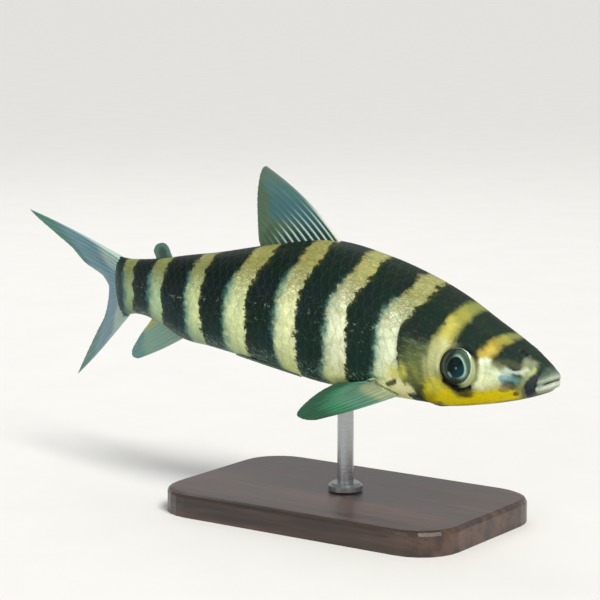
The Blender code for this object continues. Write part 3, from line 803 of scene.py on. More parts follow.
def dark_skin(graph, at, warm):
    """The dark bands: green-black, bluer behind, with pale flecks and a brown front edge."""
    behind_head = at.s.rise(*BEHIND_HEAD)
    blue = graph.noise(at.grain, 0.16, 1).rise(0.48, 0.66) * at.turn.rise(40, -10) * at.s.rise(34, 56)
    dusky = at.turn.rise(30, 60) * at.fine.rise(0.45, 0.65)
    flecks = graph.noise(at.grain, 2.6, 3, 0.75).rise(0.62, 0.72) * behind_head
    near_line = abs(at.turn + 4).rise(34, 4) * behind_head
    sparks = (graph.noise(at.spots, 2.2, 4, 0.8) + at.rough * 0.5 - 0.25).rise(0.6, 0.68) * near_line
    low = at.turn.rise(-26, -60) * (at.trail - at.streaks * 0.2).rise(0.25, 0.62)
    belly_spots = at.turn.rise(-28, -52) * graph.noise(at.spots, 1.7, 4, 0.75).rise(0.55, 0.63)
    pore_noise = graph.noise(graph.join(at.s, at.turn * 0.2, at.side), 1.2, 4, 0.7)
    pores = abs(at.turn - (at.fine * 3.0 + 4.4)).rise(2.2, 0.6) * pore_noise.rise(0.53, 0.66)
    return graph.lay(
        graph.stops(at.s, *ALONG_BODY, DARK),
        # Violet-black clouds, deep blue behind, green below and a dusky back
        (at.broad.rise(0.45, 0.7) * 0.4, (28, 28, 38)),
        (blue, (2, 40, 54)),
        (at.turn.rise(12, -20, 0.0, 0.3), (0, 54, 42)),
        (dusky * 0.5, (44, 44, 24)),
        # Pale flecks all over, more of them along the middle of the side, and the edges of the scales
        (flecks * 0.5, (96, 124, 112)),
        (sparks * 0.3, (134, 166, 154)),
        (at.edge.rise(*SCALE_RIM) * 0.15, (62, 80, 70)),
        # Painted shade: darker toward the belly, against the light the pale floor throws up, with grey
        # streaks and spots there
        (at.turn.rise(-32, -62, 0.0, 0.6), (0, 14, 12)),
        (low * 0.4, (108, 142, 126)),
        (belly_spots * behind_head * 0.75, (152, 180, 162)),
        # The pores of the side line, and the brown front edges of the pale bands
        (pores * 0.65, (140, 166, 148)),
        (warm * 0.5, (70, 70, 30)))


def head_marks(graph, at, colour):
    """The marks of the head, some of them painted highlights, with the lips, painted shade in the mouth's
    slit, and the streaks and mottling of the gill cover over them.
    """
    ragged = graph.noise(at.spots, 1.3, 4, 0.6) * 0.9 - 0.45
    drift = graph.vector("SUBTRACT", graph.noise(at.spots, 0.6, 2, part="Color"), (0.5, 0.5, 0.5))
    drift = graph.vector("MULTIPLY", drift, (1.1, 1.1, 0.0))
    spot = graph.vector("ADD", graph.join(at.s, at.turn * TURN_SHARE, 0.0), drift)
    for s, turn, end_s, end_turn, radius, tint, strength, soft in FACE_MARKS:
        start = (s, turn * TURN_SHARE)
        end = (end_s, end_turn * TURN_SHARE)
        mark = graph.mark(spot, ragged, start, end, radius, soft)
        colour = graph.mix(mark * strength, colour, tint)
    level, front, slit_shade = graph.attribute("mouth")
    lips = graph.stops(level + ragged * 0.5, *ACROSS_LIPS, LIP_TINTS)
    lip_end = (level * 0.25 + at.s + ragged * 0.6).rise(2.75, 2.35)
    on_gill = at.s.rise(19.5, 22) * abs(at.turn + 12).rise(34, 12) * at.s.rise(28, 26.5)
    fan = graph.noise(graph.join(at.s * 0.5, at.turn * 0.5, at.side), 1.0, 4, 0.75)
    mottle = graph.noise(at.spots, 1.6, 5, 0.7).rise(0.5, 0.66)
    return graph.lay(
        colour,
        (front * lip_end, lips),
        # Painted shade along the slit of the mouth
        (slit_shade * 0.92, (24, 30, 28)),
        (on_gill * fan.rise(0.5, 0.68, 0.0, 0.5), (152, 158, 104)),
        (on_gill * fan.rise(0.48, 0.34, 0.0, 0.4), (54, 66, 44)),
        (mottle * at.s.rise(30, 24) * 0.16, (84, 90, 66)))


def skin_finish(name):
    """The banded finish that the skin and its scales share."""
    graph = Graph(bpy.data.materials.new(name))
    at = skin_places(graph)
    pale, warm, cool = band_masks(at)
    colour = graph.mix(pale, dark_skin(graph, at, warm), pale_skin(graph, at))
    cool = cool * at.turn.rise(52, 14) * at.s.rise(40, 88, 0.5, 0.85)
    cool = cool * graph.noise(at.spots, 0.4).rise(0.4, 0.6, 0.35, 1.0)
    colour = graph.mix(cool, colour, graph.stops(at.s, *ALONG_TRUNK, COOL))
    colour = head_marks(graph, at, colour)
    colour = graph.shade(colour, graph.noise(at.spots, 6.0, 3, 0.7) * 0.7 + 0.65)
    colour = graph.shade(colour, at.tone * 0.5 + 0.75, 0.35)
    growth_rings = graph.math("SINE", at.ribs * 26) * at.edge.rise(0.05, 0.4)
    height = growth_rings * 0.12 + graph.noise(at.spots, 3.2, 3, 0.6) * 0.5
    graph.set(Base_Color=colour, Roughness=0.44 - pale * 0.06, Specular_IOR_Level=0.07,
              Coat_Weight=0.05, Coat_Roughness=0.16, Normal=graph.bump(height, 0.35, 0.0002))
    return graph.owner


def skin_bake_map(s, rings, count, faces):
    """An unwrap of the skin's own shape: along the body, and round it from the left side."""
    u = (s / TAIL_END).reshape(-1)
    quads = np.array(faces[:(rings - 1) * count])
    column = quads[:, :1] % count
    turns = (column + np.array([0, 1, 1, 0])) / count
    body = np.stack([u[quads], turns], -1).reshape(-1, 2) * BAKE_SHARE + BAKE_MARGIN
    round_end = (np.arange(count)[:, None] + np.array([0.5, 0.0, 1.0])) / count
    half = BAKE_MARGIN / 2
    ends = [np.stack([np.full_like(round_end, at), round_end], -1).reshape(-1, 2) for at in (half, 1 - half)]
    return np.concatenate([body, *ends])


def make_skin(finish):
    """One closed skin over head, trunk and tail."""
    rings = np.concatenate([
        np.linspace(0.02, math.sqrt(SNOUT_END), SNOUT_RINGS) ** 2,
        np.linspace(SNOUT_END, GILL_RINGS_END, GILL_RINGS)[1:],
        np.linspace(GILL_RINGS_END, TAIL_END, BODY_RINGS)[1:],
    ])
    angles = np.linspace(0, 2 * math.pi, SKIN_COUNT, endpoint=False)
    s, a = np.meshgrid(rings, angles, indexing="ij")
    level = section(s, a)[1]
    s = s + (tail_end(level) - TAIL_END) * blend(s, 90, TAIL_END)
    y = section(s, a)[0]
    points = skin(s, a, -SKIN_DEPTH * blend(s - gill_place(a), *UNDER_SCALES))
    slit = over_slit(y, level)
    front = 1 - blend(s, 2.6, 3.4)
    # Painted shade: a dark line along the slit of the mouth, at its front
    slit_shade = hump(slit * PERCENT_IN_MM, 0, 0.18) * (1 - blend(np.abs(y), 1.8, 2.2)) * front
    faces = tube_faces(len(rings), SKIN_COUNT)
    bake = skin_bake_map(s, len(rings), SKIN_COUNT, faces)

    def with_ends(grid, first, last):
        return np.concatenate([grid.reshape(-1, 3), [first, last]])

    attributes = {
        "body": with_ends(np.stack([s, turn_of(a), y], -1), (0, 0, 0), (TAIL_END, 0, 0)),
        "cell": with_ends(np.full((*s.shape, 3), (0, 0, 0.5)), (0, 0, 0.5), (0, 0, 0.5)),
        "mouth": with_ends(np.stack([slit, front, slit_shade], -1), (0, 1, 1), (0, 0, 0)),
    }
    points = with_ends(points, points[0].mean(0), points[-1].mean(0))
    piece = mesh_piece("skin", points, faces, attributes, finish, bake)
    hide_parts("head", "trunk", "tail")


class Girth:
    """Angles about the spine at even shares of the skin's girth, counted from the back."""

    places = np.linspace(15, 101, 87)
    shares = np.linspace(0, 1, 241)

    def __init__(self):
        angles = math.pi / 2 + np.linspace(0, 2 * math.pi, 721)
        rows = []
        for s in self.places:
            y, z = section(np.full_like(angles, s), angles)
            run = np.concatenate([[0], np.cumsum(np.hypot(np.diff(y), np.diff(z)))])
            rows.append(np.interp(self.shares, run / run[-1], angles))
        self.table = np.array(rows)

    def angle(self, s, share):
        """The angle at a place and share, read between the table's entries."""
        step = self.places[1] - self.places[0]
        row = (np.clip(s, self.places[0] + step / 2, self.places[-1] - step / 2) - self.places[0]) / step
        turns = np.floor(share)
        column = (share - turns) * (len(self.shares) - 1)
        i = row.astype(int)
        j = np.minimum(column.astype(int), len(self.shares) - 2)
        p = row - i
        q = column - j
        low = self.table[i, j] * (1 - q) + self.table[i, j + 1] * q
        high = self.table[i + 1, j] * (1 - q) + self.table[i + 1, j + 1] * q
        return low * (1 - p) + high * p + turns * 2 * math.pi


def scale_form():
    """One scale: shares along it and across it at the points of its grid, its faces and its rim."""
    along = np.array([0, 0.3, 0.56, 0.76, 0.9, 0.98, 1.0])
    half_across = np.array([0.24, 0.5, 0.76, 0.96, 1.0])
    across = np.concatenate([-half_across[::-1], [0.0], half_across])
    u, v = np.meshgrid(along, across, indexing="ij")
    quads, rim = sheet_faces(*u.shape)
    under = u.size + np.arange(len(rim))
    walls = np.stack([rim, np.roll(rim, -1), np.roll(under, -1), under], -1)
    return u, v, quads.tolist() + walls.tolist() + [under[::-1].tolist()], rim


def scale_roots(girth, side):
    """Root place, share of the girth and angle of each scale on a side, in staggered rows."""
    rows = SCALE_ROWS // 2
    for column in range(SCALE_COLUMNS):
        t = column / (SCALE_COLUMNS - 1)
        for row in range(rows):
            share = (row + 0.5 * (column % 2) + 0.25) / rows
            if (share % 1 < 0.5) == (side < 0):
                angle = girth.angle(np.array([GILL_EDGE]), np.array([share]))[0]
                front = float(gill_place(angle)) + SCALE_START
                yield front + (SCALE_END - front) * (1.04 * t - 0.04 * t * t), share, angle


def make_scales(name, side, girth, draw, finish):
    """The overlapping scales of one side as one joined piece."""
    u, v, form, rim = scale_form()
    length = (SCALE_END - SCALE_START - GILL_EDGE) / SCALE_COLUMNS * SCALE_LENGTH
    outline = length * (u - SCALE_ROUNDING * (u * v) ** 2 - 0.55)
    width = v * SCALE_HALF / SCALE_ROWS * (0.86 + 0.14 * np.sin(math.pi * np.clip(u * 1.1, 0, 1)))
    crown = SCALE_SLOPE * u - SCALE_SUNK - SCALE_CROWN * v * v
    points = []
    body = []
    cell = []
    faces = []
    bake = []

    def with_underside(*grids):
        flat = np.stack(grids, -1).reshape(-1, len(grids))
        return np.concatenate([flat, flat[rim]])

    for root, share, angle in scale_roots(girth, side):
        shift, tilt, rise, tone = draw.uniform(-1, 1, 4)
        s = root + outline + SCALE_SHIFT * shift
        a = girth.angle(s, share + width)
        lift = crown + SCALE_TILT * tilt * v + SCALE_RISE * rise
        clear = np.minimum(s, tail_end(section(np.minimum(s, 100), a)[1]) - SCALE_CLEAR)
        top = skin(clear, a, lift, with_relief=False).reshape(-1, 3)
        base = skin(clear, a, lift - SCALE_THICKNESS, with_relief=False).reshape(-1, 3)[rim]
        first = len(points) * (len(top) + len(rim))
        points.append(np.concatenate([top, base]))
        body.append(with_underside(s + 0.22 * (root - s), turn_of(a), np.full_like(s, side)))
        cell.append(with_underside(u, v, np.full_like(u, 0.5 + 0.5 * tone)))
        faces += [[first + n for n in face] for face in form]
        middle_u = root / TAIL_END * BAKE_SHARE + BAKE_MARGIN
        middle_v = angle / (2 * math.pi) % 1 * BAKE_SHARE + BAKE_MARGIN
        patch = with_underside(middle_u + (u - 0.5) * PATCH_SIZE, middle_v + v * PATCH_SIZE / 2)
        bake += [patch[n] for face in form for n in face]
    attributes = {"body": np.concatenate(body), "cell": np.concatenate(cell)}
    piece = mesh_piece(name, np.concatenate(points), faces, attributes, finish, bake)


def make_coat(finish):
    """The coat of scales on both sides."""
    girth = Girth()
    draw = np.random.default_rng(7)
    for end, side in SIDES:
        make_scales("scales_" + end, side, girth, draw, finish)


def eye_finish():
    """A dark pupil in a fine silver ring, a dark iris, a bright outer ring and a clear glossy front, with
    painted light: the rings and the iris lighter on the side toward the light, a painted glint and a painted
    highlight in the pupil.
    """
    graph = Graph(bpy.data.materials.new("glassy_eye"))
    ahead, up, _ = graph.attribute("eye")
    ahead = ahead * 1.17 + 0.1
    up = up - 0.3
    oval = graph.math("SQRT", ahead * ahead + up * up)
    grain = graph.join(ahead, up, 0.0)
    ragged = graph.noise(grain, 1.3, 3, 0.6) * 0.36 - 0.18
    around = oval + ragged
    narrow = ahead * (up * 0.1 + 1.0)
    egg = graph.math("SQRT", narrow * narrow + up * up)
    turned = graph.math("ARCTAN2", up, ahead)
    fibres = graph.noise(graph.join(turned * 6.0, oval * 0.8, 0.0), 2.0, 3)
    rings = graph.noise(graph.join(turned * 0.8, oval * 7.0, 0.0), 1.0)
    front = ahead / oval
    rise = up / oval
    # Painted light: the silver ring, the iris and the bright outer ring are painted lighter on this side,
    # toward the front and top
    lit = (rise * 0.35 + front).rise(-0.35, 0.75)

    pupil = graph.mix((ahead - up).rise(-0.6, 2.6), (2, 22, 18), (8, 54, 66))
    silver = graph.mix(lit, (50, 64, 56), (150, 178, 160))
    iris = graph.lay(
        graph.mix(fibres.rise(0.38, 0.68), (13, 25, 21), (50, 64, 48)),
        (lit * 0.6, (84, 112, 94)),
        (front.rise(-0.3, -0.9) * oval.rise(2.3, 3.0), (84, 90, 72)))
    outer = graph.mix(rise.rise(0.6, -0.5), (24, 30, 27), (12, 14, 9))
    outer = graph.mix((front - rise * 0.35).rise(0.35, 0.9), outer, (166, 172, 122))
    ring = around.rise(3.06, 3.16) * around.rise(3.36, 3.24)
    colour = graph.lay(
        pupil,
        (egg.rise(1.74, 1.9), silver),
        ((egg + ragged).rise(1.96, 2.5), iris),
        (around.rise(2.92, 3.08), outer),
        (ring * (lit * 0.75 + 0.1), (180, 194, 172)))
    colour = graph.shade(colour, rings * 1.1 + 0.5, 0.5)
    # A painted glint of light at the lower rear of the pupil's rim, and a painted highlight near the middle
    # of the pupil
    painted_glint = graph.mark(grain, fibres * 0.6 - 0.3, (-1.45, -1.25), (-1.0, -1.7), 0.24, 0.8)
    painted_pupil_highlight = graph.mark(grain, 0.0, (0.15, -0.15), (0.15, -0.15), 0.2, 0.9)
    colour = graph.lay(colour, (painted_glint * 0.7, (150, 170, 178)), (painted_pupil_highlight * 0.45, (130, 170, 158)))
    metal = oval.rise(1.8, 1.9) * oval.rise(3.5, 3.3)
    bowl = graph.math("MINIMUM", oval * 0.5, 1.1)
    graph.set(Base_Color=colour, Roughness=0.35, Specular_IOR_Level=0.0, Metallic=metal * 0.3,
              Coat_Weight=1.0, Coat_Roughness=0.02, Coat_IOR=1.2, Normal=graph.bump(bowl, 0.5, 0.0004))
    return graph.owner


def make_eye(node, side, finish):
    """One eye: a low ball with a bulging lens, its axis out of the head's side and a little forward."""
    s, y, z = EYE_AT
    forward, left, up = (np.array(v) for v in spine_axes(s))
    out = unit(left * side * math.cos(EYE_FORWARD) + forward * math.sin(EYE_FORWARD))
    rise = unit(up - out * (up @ out))
    ahead = unit(forward - out * (forward @ out))
    ahead = unit(ahead - rise * (ahead @ rise))
    middle = place(s, y * side, z) - out * EYE_SUNK
    tilt = np.linspace(0, math.pi, EYE_RINGS + 1)[1:-1]
    turn = np.linspace(0, 2 * math.pi, EYE_COUNT, endpoint=False)
    t, w = np.meshgrid(tilt, turn, indexing="ij")
    radius = np.sin(t) * EYE_RADIUS
    depth = np.cos(t)
    lens = np.where(depth > 0, LENS_HEIGHT * np.clip(1 - (radius / LENS_RADIUS) ** 2, 0, 1), 0)
    flat_x = np.cos(w) * radius
    flat_y = np.sin(w) * radius
    points = middle + ahead * flat_x[..., None] + rise * flat_y[..., None]
    points = points + out * (depth * EYE_DEPTH + lens - EYE_INSET)[..., None]
    tip = middle + out * (EYE_DEPTH + LENS_HEIGHT - EYE_INSET)
    root = middle - out * EYE_DEPTH
    points = np.concatenate([points.reshape(-1, 3), [tip, root]])
    eye = np.stack([flat_x / MM, flat_y / MM, 0 * flat_x], -1).reshape(-1, 3)
    eye = np.concatenate([eye, np.zeros((2, 3))])
    faces = tube_faces(len(tilt), EYE_COUNT, flip=side < 0)
    piece = mesh_piece(node + "_glass", points, faces, {"eye": eye}, finish)
    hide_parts(node)


def fin_finish(name, membrane, roots, between, ray, lead, patches, rays_shown, reach=(0.35, 1.0),
               glow=0.12, fade=(1.05, 0.7, 0.5)):
    """A thin, slightly translucent fin with paler rays and soft patches of colour.

    The colours are the membrane's, its root's, that between the rays, the rays' and the leading
    edge's. The rays show by the two shares of rays_shown within and beyond the reach, and less
    toward the leading edge, by the fade.
    """
    graph = Graph(bpy.data.materials.new(name))
    u, v, ridge = graph.attribute("fin")
    cloud = graph.noise(graph.join(u * 9, v * 3.5, 0.0), 1.0, 3)
    fine = graph.noise(graph.join(u * 110, v * 7, 0.0), 1.0)
    at = graph.join(u, v, 0.0)
    ragged = cloud * 0.6 - 0.3
    colour = graph.mix(v.rise(0.34, 0.0) * 0.9, membrane, roots)
    for start, end, radius, tint, strength in patches:
        colour = graph.mix(graph.mark(at, ragged, start, end, radius, 0.5) * strength, colour, tint)
    share = v.rise(*reach[::-1], *rays_shown[::-1]) * u.rise(*fade, 1.0)
    colour = graph.lay(
        colour,
        (share * v.rise(0.42, 0.04, 0.45, 1.0) * ridge.rise(0.5, 0.0), between),
        (ridge.rise(0.06, 0.46) * share * (fine * 0.6 + 0.65), ray),
        (u.rise(0.05, 0.0) * v.rise(0.55, 0.12, 0.12, 1.0) * 0.85, lead))
    colour = graph.shade(colour, cloud * 0.6 + 0.4 + (fine * 0.4 + 0.05), 0.5)
    joints = graph.math("SINE", v * 260)
    height = joints * ridge * 0.25 + fine * 0.6
    graph.set(Base_Color=colour, Roughness=0.36, Transmission_Weight=glow, IOR=1.35, Specular_IOR_Level=0.35,
              Coat_Weight=0.15, Coat_Roughness=0.25, Normal=graph.bump(height, 0.3, 0.0001))
    return graph.owner


def ray_ridges(u, v, rays):
    """Ridge height of the rays at a share across and along a fin: each ray parts twice toward its tip."""
    spacing = 1 / (rays - 1)
    ridge = np.zeros(np.broadcast(u, v).shape)
    for ray in range(rays):
        at = ray * spacing
        first_split, second_split = (at_v + vary * math.sin(ray * pace + turn)
                                     for at_v, vary, pace, turn in RAY_SPLITS)
        spread = RAY_SPREAD if ray else 0
        part = spread * blend(v, first_split, 1.25)
        again = spread * 0.5 * blend(v, second_split, 1.25)
        width = spacing * (RAY_WIDTH if ray else FIRST_RAY_WIDTH) * (1 - 0.5 * v)
        for sign in (-1, 1):
            for second in (-1, 1):
                middle = at + spacing * (sign * part + second * again) * (1 if at < 1 else 0.6)
                ridge = np.maximum(ridge, hump(u, middle, width))
    return ridge


def make_fin(name, rays, root, tip, bow, finish, height=0.14, root_half=0.3, sink=0.6, fleshy=False):
    """A fin from its root line to its edge, with branching rays raised on both faces; sizes in mm."""
    columns = (rays - 1) * RAY_COLUMNS + 1
    u = np.linspace(0, 1, columns)
    v = np.linspace(0, 1, FIN_ROWS)[:, None]
    start = root(u)
    end = tip(u)
    chord = end - start
    lean = unit(np.gradient(end + start, axis=0))
    lean = unit(lean - (lean * unit(chord)).sum(-1, keepdims=True) * unit(chord))
    length = np.linalg.norm(chord, axis=-1, keepdims=True)
    start = start - unit(chord) * sink * MM
    bend = (start + end) / 2 - lean * length * bow
    ridge = np.zeros((FIN_ROWS, columns)) if fleshy else ray_ridges(u[None, :], v, rays)
    notch = 0 if fleshy else NOTCH_DEPTH * (1 - ridge[-1:, :]) * blend(u, 0.05, 0.2)
    run = (v * (1 - notch * v ** 6))[..., None]
    centre = start * (1 - run) ** 2 + bend * 2 * run * (1 - run) + end * run * run
    if fleshy:
        half = FLESHY_EDGE_HALF + FLESHY_HALF * np.sin(math.pi * u)[None, :] ** 0.7 * (1 - 0.8 * v * v)
    else:
        half = FIN_MIDDLE_HALF + (root_half - FIN_MIDDLE_HALF) * (1 - v) ** 3
        half = half + (FIN_TIP_HALF - FIN_MIDDLE_HALF) * blend(v, 0.6, 1)
        half = half + ridge * height * (1 - 0.8 * blend(v, 0.2, 0.9))
    half = half * (0.45 + 0.55 * blend(np.minimum(u, 1 - u), 0, 0.02)) * MM
    across = unit(np.cross(np.gradient(centre, axis=1), np.gradient(centre, axis=0))) * half[..., None]
    points = np.concatenate([(centre + across).reshape(-1, 3), (centre - across).reshape(-1, 3)])
    quads, rim = sheet_faces(FIN_ROWS, columns)
    under = FIN_ROWS * columns
    walls = [(p, under + p, under + q, q) for p, q in zip(rim, rim[1:] + rim[:1])]
    faces = quads[:, (0, 3, 2, 1)].tolist() + (quads + under).tolist() + walls
    fin = np.stack(np.broadcast_arrays(u, v, ridge), -1).reshape(-1, 3)
    piece = mesh_piece(name, points, faces, {"fin": np.concatenate([fin, fin])}, finish)
    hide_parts(name.replace("_blade", ""))


def make_median_fin(name, rays, span, level_of, edge, bow, finish, sway=0.0, fleshy=False):
    """A fin of the back or belly, from its root's span to its edge, which may sway to the left."""

    def root(u):
        s = span[0] + (span[1] - span[0]) * u
        return place(s, 0 * u, level_of(s))

    def tip(u):
        s, z = edge(u)
        return place(s, sway * np.sin(math.pi * u), z)

    make_fin(name, rays, root, tip, bow, finish, fleshy=fleshy)


def make_dorsal():
    """Dorsal fin on the middle of the back."""
    edge = path((0, 61.5, 25.1), (0.05, 62.1, 24.75), (0.12, 62.6, 23.9), (0.28, 63.15, 21.8),
                (0.5, 63.35, 19.0), (0.75, 63.0, 15.3), (1, 62.4, 11.6))
    patches = (
        ((0.08, 0.3), (0.14, 0.8), 0.17, (78, 124, 126), 0.85),
        ((0.2, 0.3), (0.42, 0.62), 0.17, (62, 112, 120), 0.85),
        ((0.0, 0.88), (0.1, 1.0), 0.13, (100, 124, 108), 0.7),
        ((0.95, 0.0), (0.8, 0.5), 0.16, (66, 94, 66), 0.8),
    )
    finish = fin_finish("dorsal_membrane", (82, 108, 82), (50, 76, 60), (16, 46, 44), (176, 210, 198),
                        (226, 226, 210), patches, (0.95, 0.0), (0.12, 0.56), fade=(0.88, 0.55, 0.0))
    make_median_fin("dorsal_fin_blade", 13, (45.5, 62.0), top_of, edge, 0.1, finish, sway=0.35)


def make_adipose():
    """Small fleshy fin behind the dorsal fin, without rays."""
    edge = path((0, 83.7, 7.5), (0.3, 84.6, 8.6), (0.6, 86.0, 8.85), (0.8, 87.3, 8.35), (1, 88.1, 7.1))
    patches = (((0.45, 0.1), (0.5, 0.55), 0.24, (20, 54, 47), 0.75),)
    finish = fin_finish("adipose_flesh", (84, 120, 106), (44, 74, 66), (72, 108, 96), (84, 120, 106),
                        (124, 156, 144), patches, (0.1, 0.1), glow=0.1)
    make_median_fin("adipose_fin_blade", 4, (83.0, 87.4), top_of, edge, 0.0, finish, fleshy=True)


def make_anal():
    """Anal fin under the tail."""
    edge = path((0, 95.0, -13.35), (0.15, 97.0, -13.0), (0.3, 97.2, -12.1), (0.6, 95.0, -9.9),
                (1, 91.2, -6.9))
    patches = (
        ((0.1, 0.95), (0.6, 0.95), 0.2, (84, 138, 138), 0.8),
        ((1.0, 0.1), (1.0, 0.7), 0.2, (186, 184, 90), 0.95),
    )
    finish = fin_finish("anal_membrane", (134, 172, 154), (132, 158, 140), (104, 144, 130),
                        (146, 184, 168), (186, 208, 192), patches, (0.25, 0.1))
    make_median_fin("anal_fin_blade", 10, (80.0, 89.4), bottom_of, edge, 0.03, finish)


def tail_place(back, left, up):
    """World points from distances behind, left of and above the spine at the tail fin's root."""
    forward, side, rise = spine_axes(100.0)
    back, left, up = (np.asarray(value, float)[..., None] * PERCENT for value in (back, left, up))
    return spine(100.0) - forward * back + side * left + rise * up


def make_caudal_lobe(name, sign, corner, edge, swing):
    """One lobe of the forked tail fin, swung to a side of its own."""
    split = 0.06
    patches = (
        ((0.0, 0.88), (0.5, 1.02), 0.2, (62, 122, 98), 0.85),
        ((0.05, 0.06), (0.3, 0.1), 0.16, (196, 214, 196), 0.8),
    )
    finish = fin_finish(name + "_membrane", (108, 148, 160), (140, 168, 160), (90, 132, 144),
                        (134, 170, 174), (168, 196, 184), patches, (0.4, 0.2))

    def root(u):
        up = sign * (corner + (split - corner) * u)
        return tail_place(tail_end(up) - 100, 0 * u, up)

    def tip(u):
        back, up = edge(u)
        side = swing * back * np.abs(back) / (np.abs(back) + 3) * (1 - 0.85 * blend(u, 0.6, 1))
        return tail_place(back, side, sign * up)

    make_fin(name, 10, root, tip, 0.03, finish, height=0.16, root_half=0.7)


def make_caudal():
    """The forked tail fin in its two lobes."""
    upper = path((0, 24.5, 16.2), (0.12, 22.4, 14.5), (0.32, 17.1, 10.9), (0.5, 13.0, 8.1),
                 (0.66, 9.7, 5.1), (0.85, 5.3, 2.3), (1, 3.7, -0.25))
    lower = path((0, 24.7, 17.35), (0.14, 20.2, 14.0), (0.4, 12.9, 8.8), (0.66, 7.5, 5.0),
                 (0.85, 4.9, 1.8), (1, 4.2, -0.25))
    make_caudal_lobe("caudal_fin_upper_blade", 1, 5.9, upper, -0.227)
    make_caudal_lobe("caudal_fin_lower_blade", -1, 5.65, lower, 0.134)


def outward(s, a):
    """Direction out of the skin."""
    step_s = 0.05
    step_a = 0.01
    here = skin(s, a, with_relief=False)
    around = skin(s, a + step_a, with_relief=False) - here
    along = skin(s + step_s, a, with_relief=False) - here
    return -unit(np.cross(around, along))


def beside_skin(s, a, away):
    """World points a distance in mm out from the skin."""
    return skin(s, a, with_relief=False) + outward(s, a) * away * MM


def angle_at(s, z, side):
    """Angle about the spine of the skin at a level, on the left side for 1 or the right for -1."""
    level = widest_of(s)
    reach = np.where(z > level, top_of(s) - level, level - bottom_of(s))
    share = np.clip(np.abs(z - level) / reach, 0, 1) ** (1 / SECTION_POWER)
    a = np.arcsin(share) * np.sign(z - level)
    return a if side > 0 else math.pi - a


def make_pectoral(name, side, swing, finish):
    """Pectoral fin low behind the gill opening, its edge swung outward about its root by an angle."""
    root_line = path((0, 28.9, -9.3), (1, 30.6, -6.6))
    edge = path((0, 43.7, 6.0, -16.6), (0.2, 46.3, 6.15, -17.0), (0.4, 47.8, 6.2, -16.4),
                (0.6, 46.5, 6.2, -14.4), (0.8, 43.3, 6.15, -11.4), (1, 39.5, 6.3, -9.0))
    pivot_y, pivot_z = PECTORAL_PIVOT

    def root(u):
        s, z = root_line(u)
        return beside_skin(s, angle_at(s, z, side), 0.45)

    def tip(u):
        s, y, z = edge(u)
        out = y - pivot_y
        up = z - pivot_z
        swung_y = pivot_y + out * math.cos(swing) - up * math.sin(swing)
        swung_z = pivot_z + out * math.sin(swing) + up * math.cos(swing)
        return place(s, side * swung_y, swung_z)

    make_fin(name, 14, root, tip, 0.03, finish, root_half=0.28, sink=0.3)


def make_pelvic(name, side, finish):
    """Pelvic fin folded back along the belly, following its surface."""
    length = path((0, 12.6), (0.15, 14.0), (0.4, 13.2), (0.7, 9.6), (1, 6.2))
    spread = 1.25

    def following(s, lean, lift):
        return beside_skin(s, -math.pi / 2 + side * lean, lift)

    def lean_at(u):
        return PELVIC_OUTER + (PELVIC_INNER - PELVIC_OUTER) * u

    def root(u):
        return following(PELVIC_AT + 0.8 * u, lean_at(u), -0.12)

    def tip(u):
        return following(PELVIC_AT + length(u)[0], lean_at(u) * spread, 0.24)

    make_fin(name, 9, root, tip, 0.0, finish, height=0.08, root_half=0.22, sink=0.3)


def make_paired_fins():
    """Pectoral and pelvic fins on both sides."""
    patches = (
        ((0.0, 1.0), (1.0, 0.92), 0.3, (34, 72, 48), 0.9),
        ((0.1, 0.27), (0.9, 0.33), 0.2, (128, 172, 150), 0.7),
        ((0.0, 0.05), (0.7, 0.05), 0.13, (222, 224, 176), 0.85),
    )
    green = fin_finish("pectoral_membrane", (66, 150, 106), (190, 206, 172), (58, 140, 98), (84, 162, 120),
                       (140, 194, 166), patches, (0.28, 0.15))
    patches = (((0.0, 1.0), (1.0, 1.0), 0.3, (62, 94, 80), 0.7),)
    clear = fin_finish("pelvic_membrane", (84, 108, 88), (112, 128, 98), (72, 96, 78), (112, 134, 110),
                       (104, 124, 100), patches, (0.6, 0.3), glow=0.3)
    for end, side in SIDES:
        swing = PECTORAL_SPREAD if side > 0 else 0.0
        make_pectoral("pectoral_fin_" + end + "_blade", side, swing, green)
        make_pelvic("pelvic_fin_" + end + "_blade", side, clear)


def finish_stand():
    """Dark stained wood on the base and brushed steel on the rod, both carried over from the frame."""
    wood = Graph(bpy.data.materials.new("stained_wood"))
    at = wood.coordinate()
    x, y, z = wood.split(at)
    warp = wood.noise(at, 30) * 1.2
    grain = wood.noise(wood.join(x * 22, y * 330 + warp, z * 330), 1.0, 4, 0.6)
    pore = wood.noise(wood.join(x * 120, y * 1800, z * 1800), 1.0, 1)
    stain = wood.mix(grain.rise(0.32, 0.7), (38, 27, 22), (84, 60, 46))
    stain = wood.mix(pore.rise(0.6, 0.72) * 0.6, stain, (22, 15, 12))
    wood.set(Base_Color=stain, Roughness=grain * 0.2 + 0.3, Coat_Weight=0.3, Coat_Roughness=0.2,
             Normal=wood.bump(grain - pore * 0.5, 0.25, 0.0002))
    steel = Graph(bpy.data.materials.new("brushed_steel"))
    x, y, z = steel.split(steel.coordinate())
    brush = steel.noise(steel.join(x * 300, y * 300, z * 9000), 1.0)
    steel.set(Base_Color=steel.mix(brush, (150, 153, 156), (186, 188, 190)), Metallic=1.0,
              Roughness=brush * 0.22 + 0.2, Normal=steel.bump(brush, 0.15, 0.00005))
    for name, graph in (("stand_base", wood), ("stand_rod", steel)):
        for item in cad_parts[name].material_slots:
            item.material = graph.owner


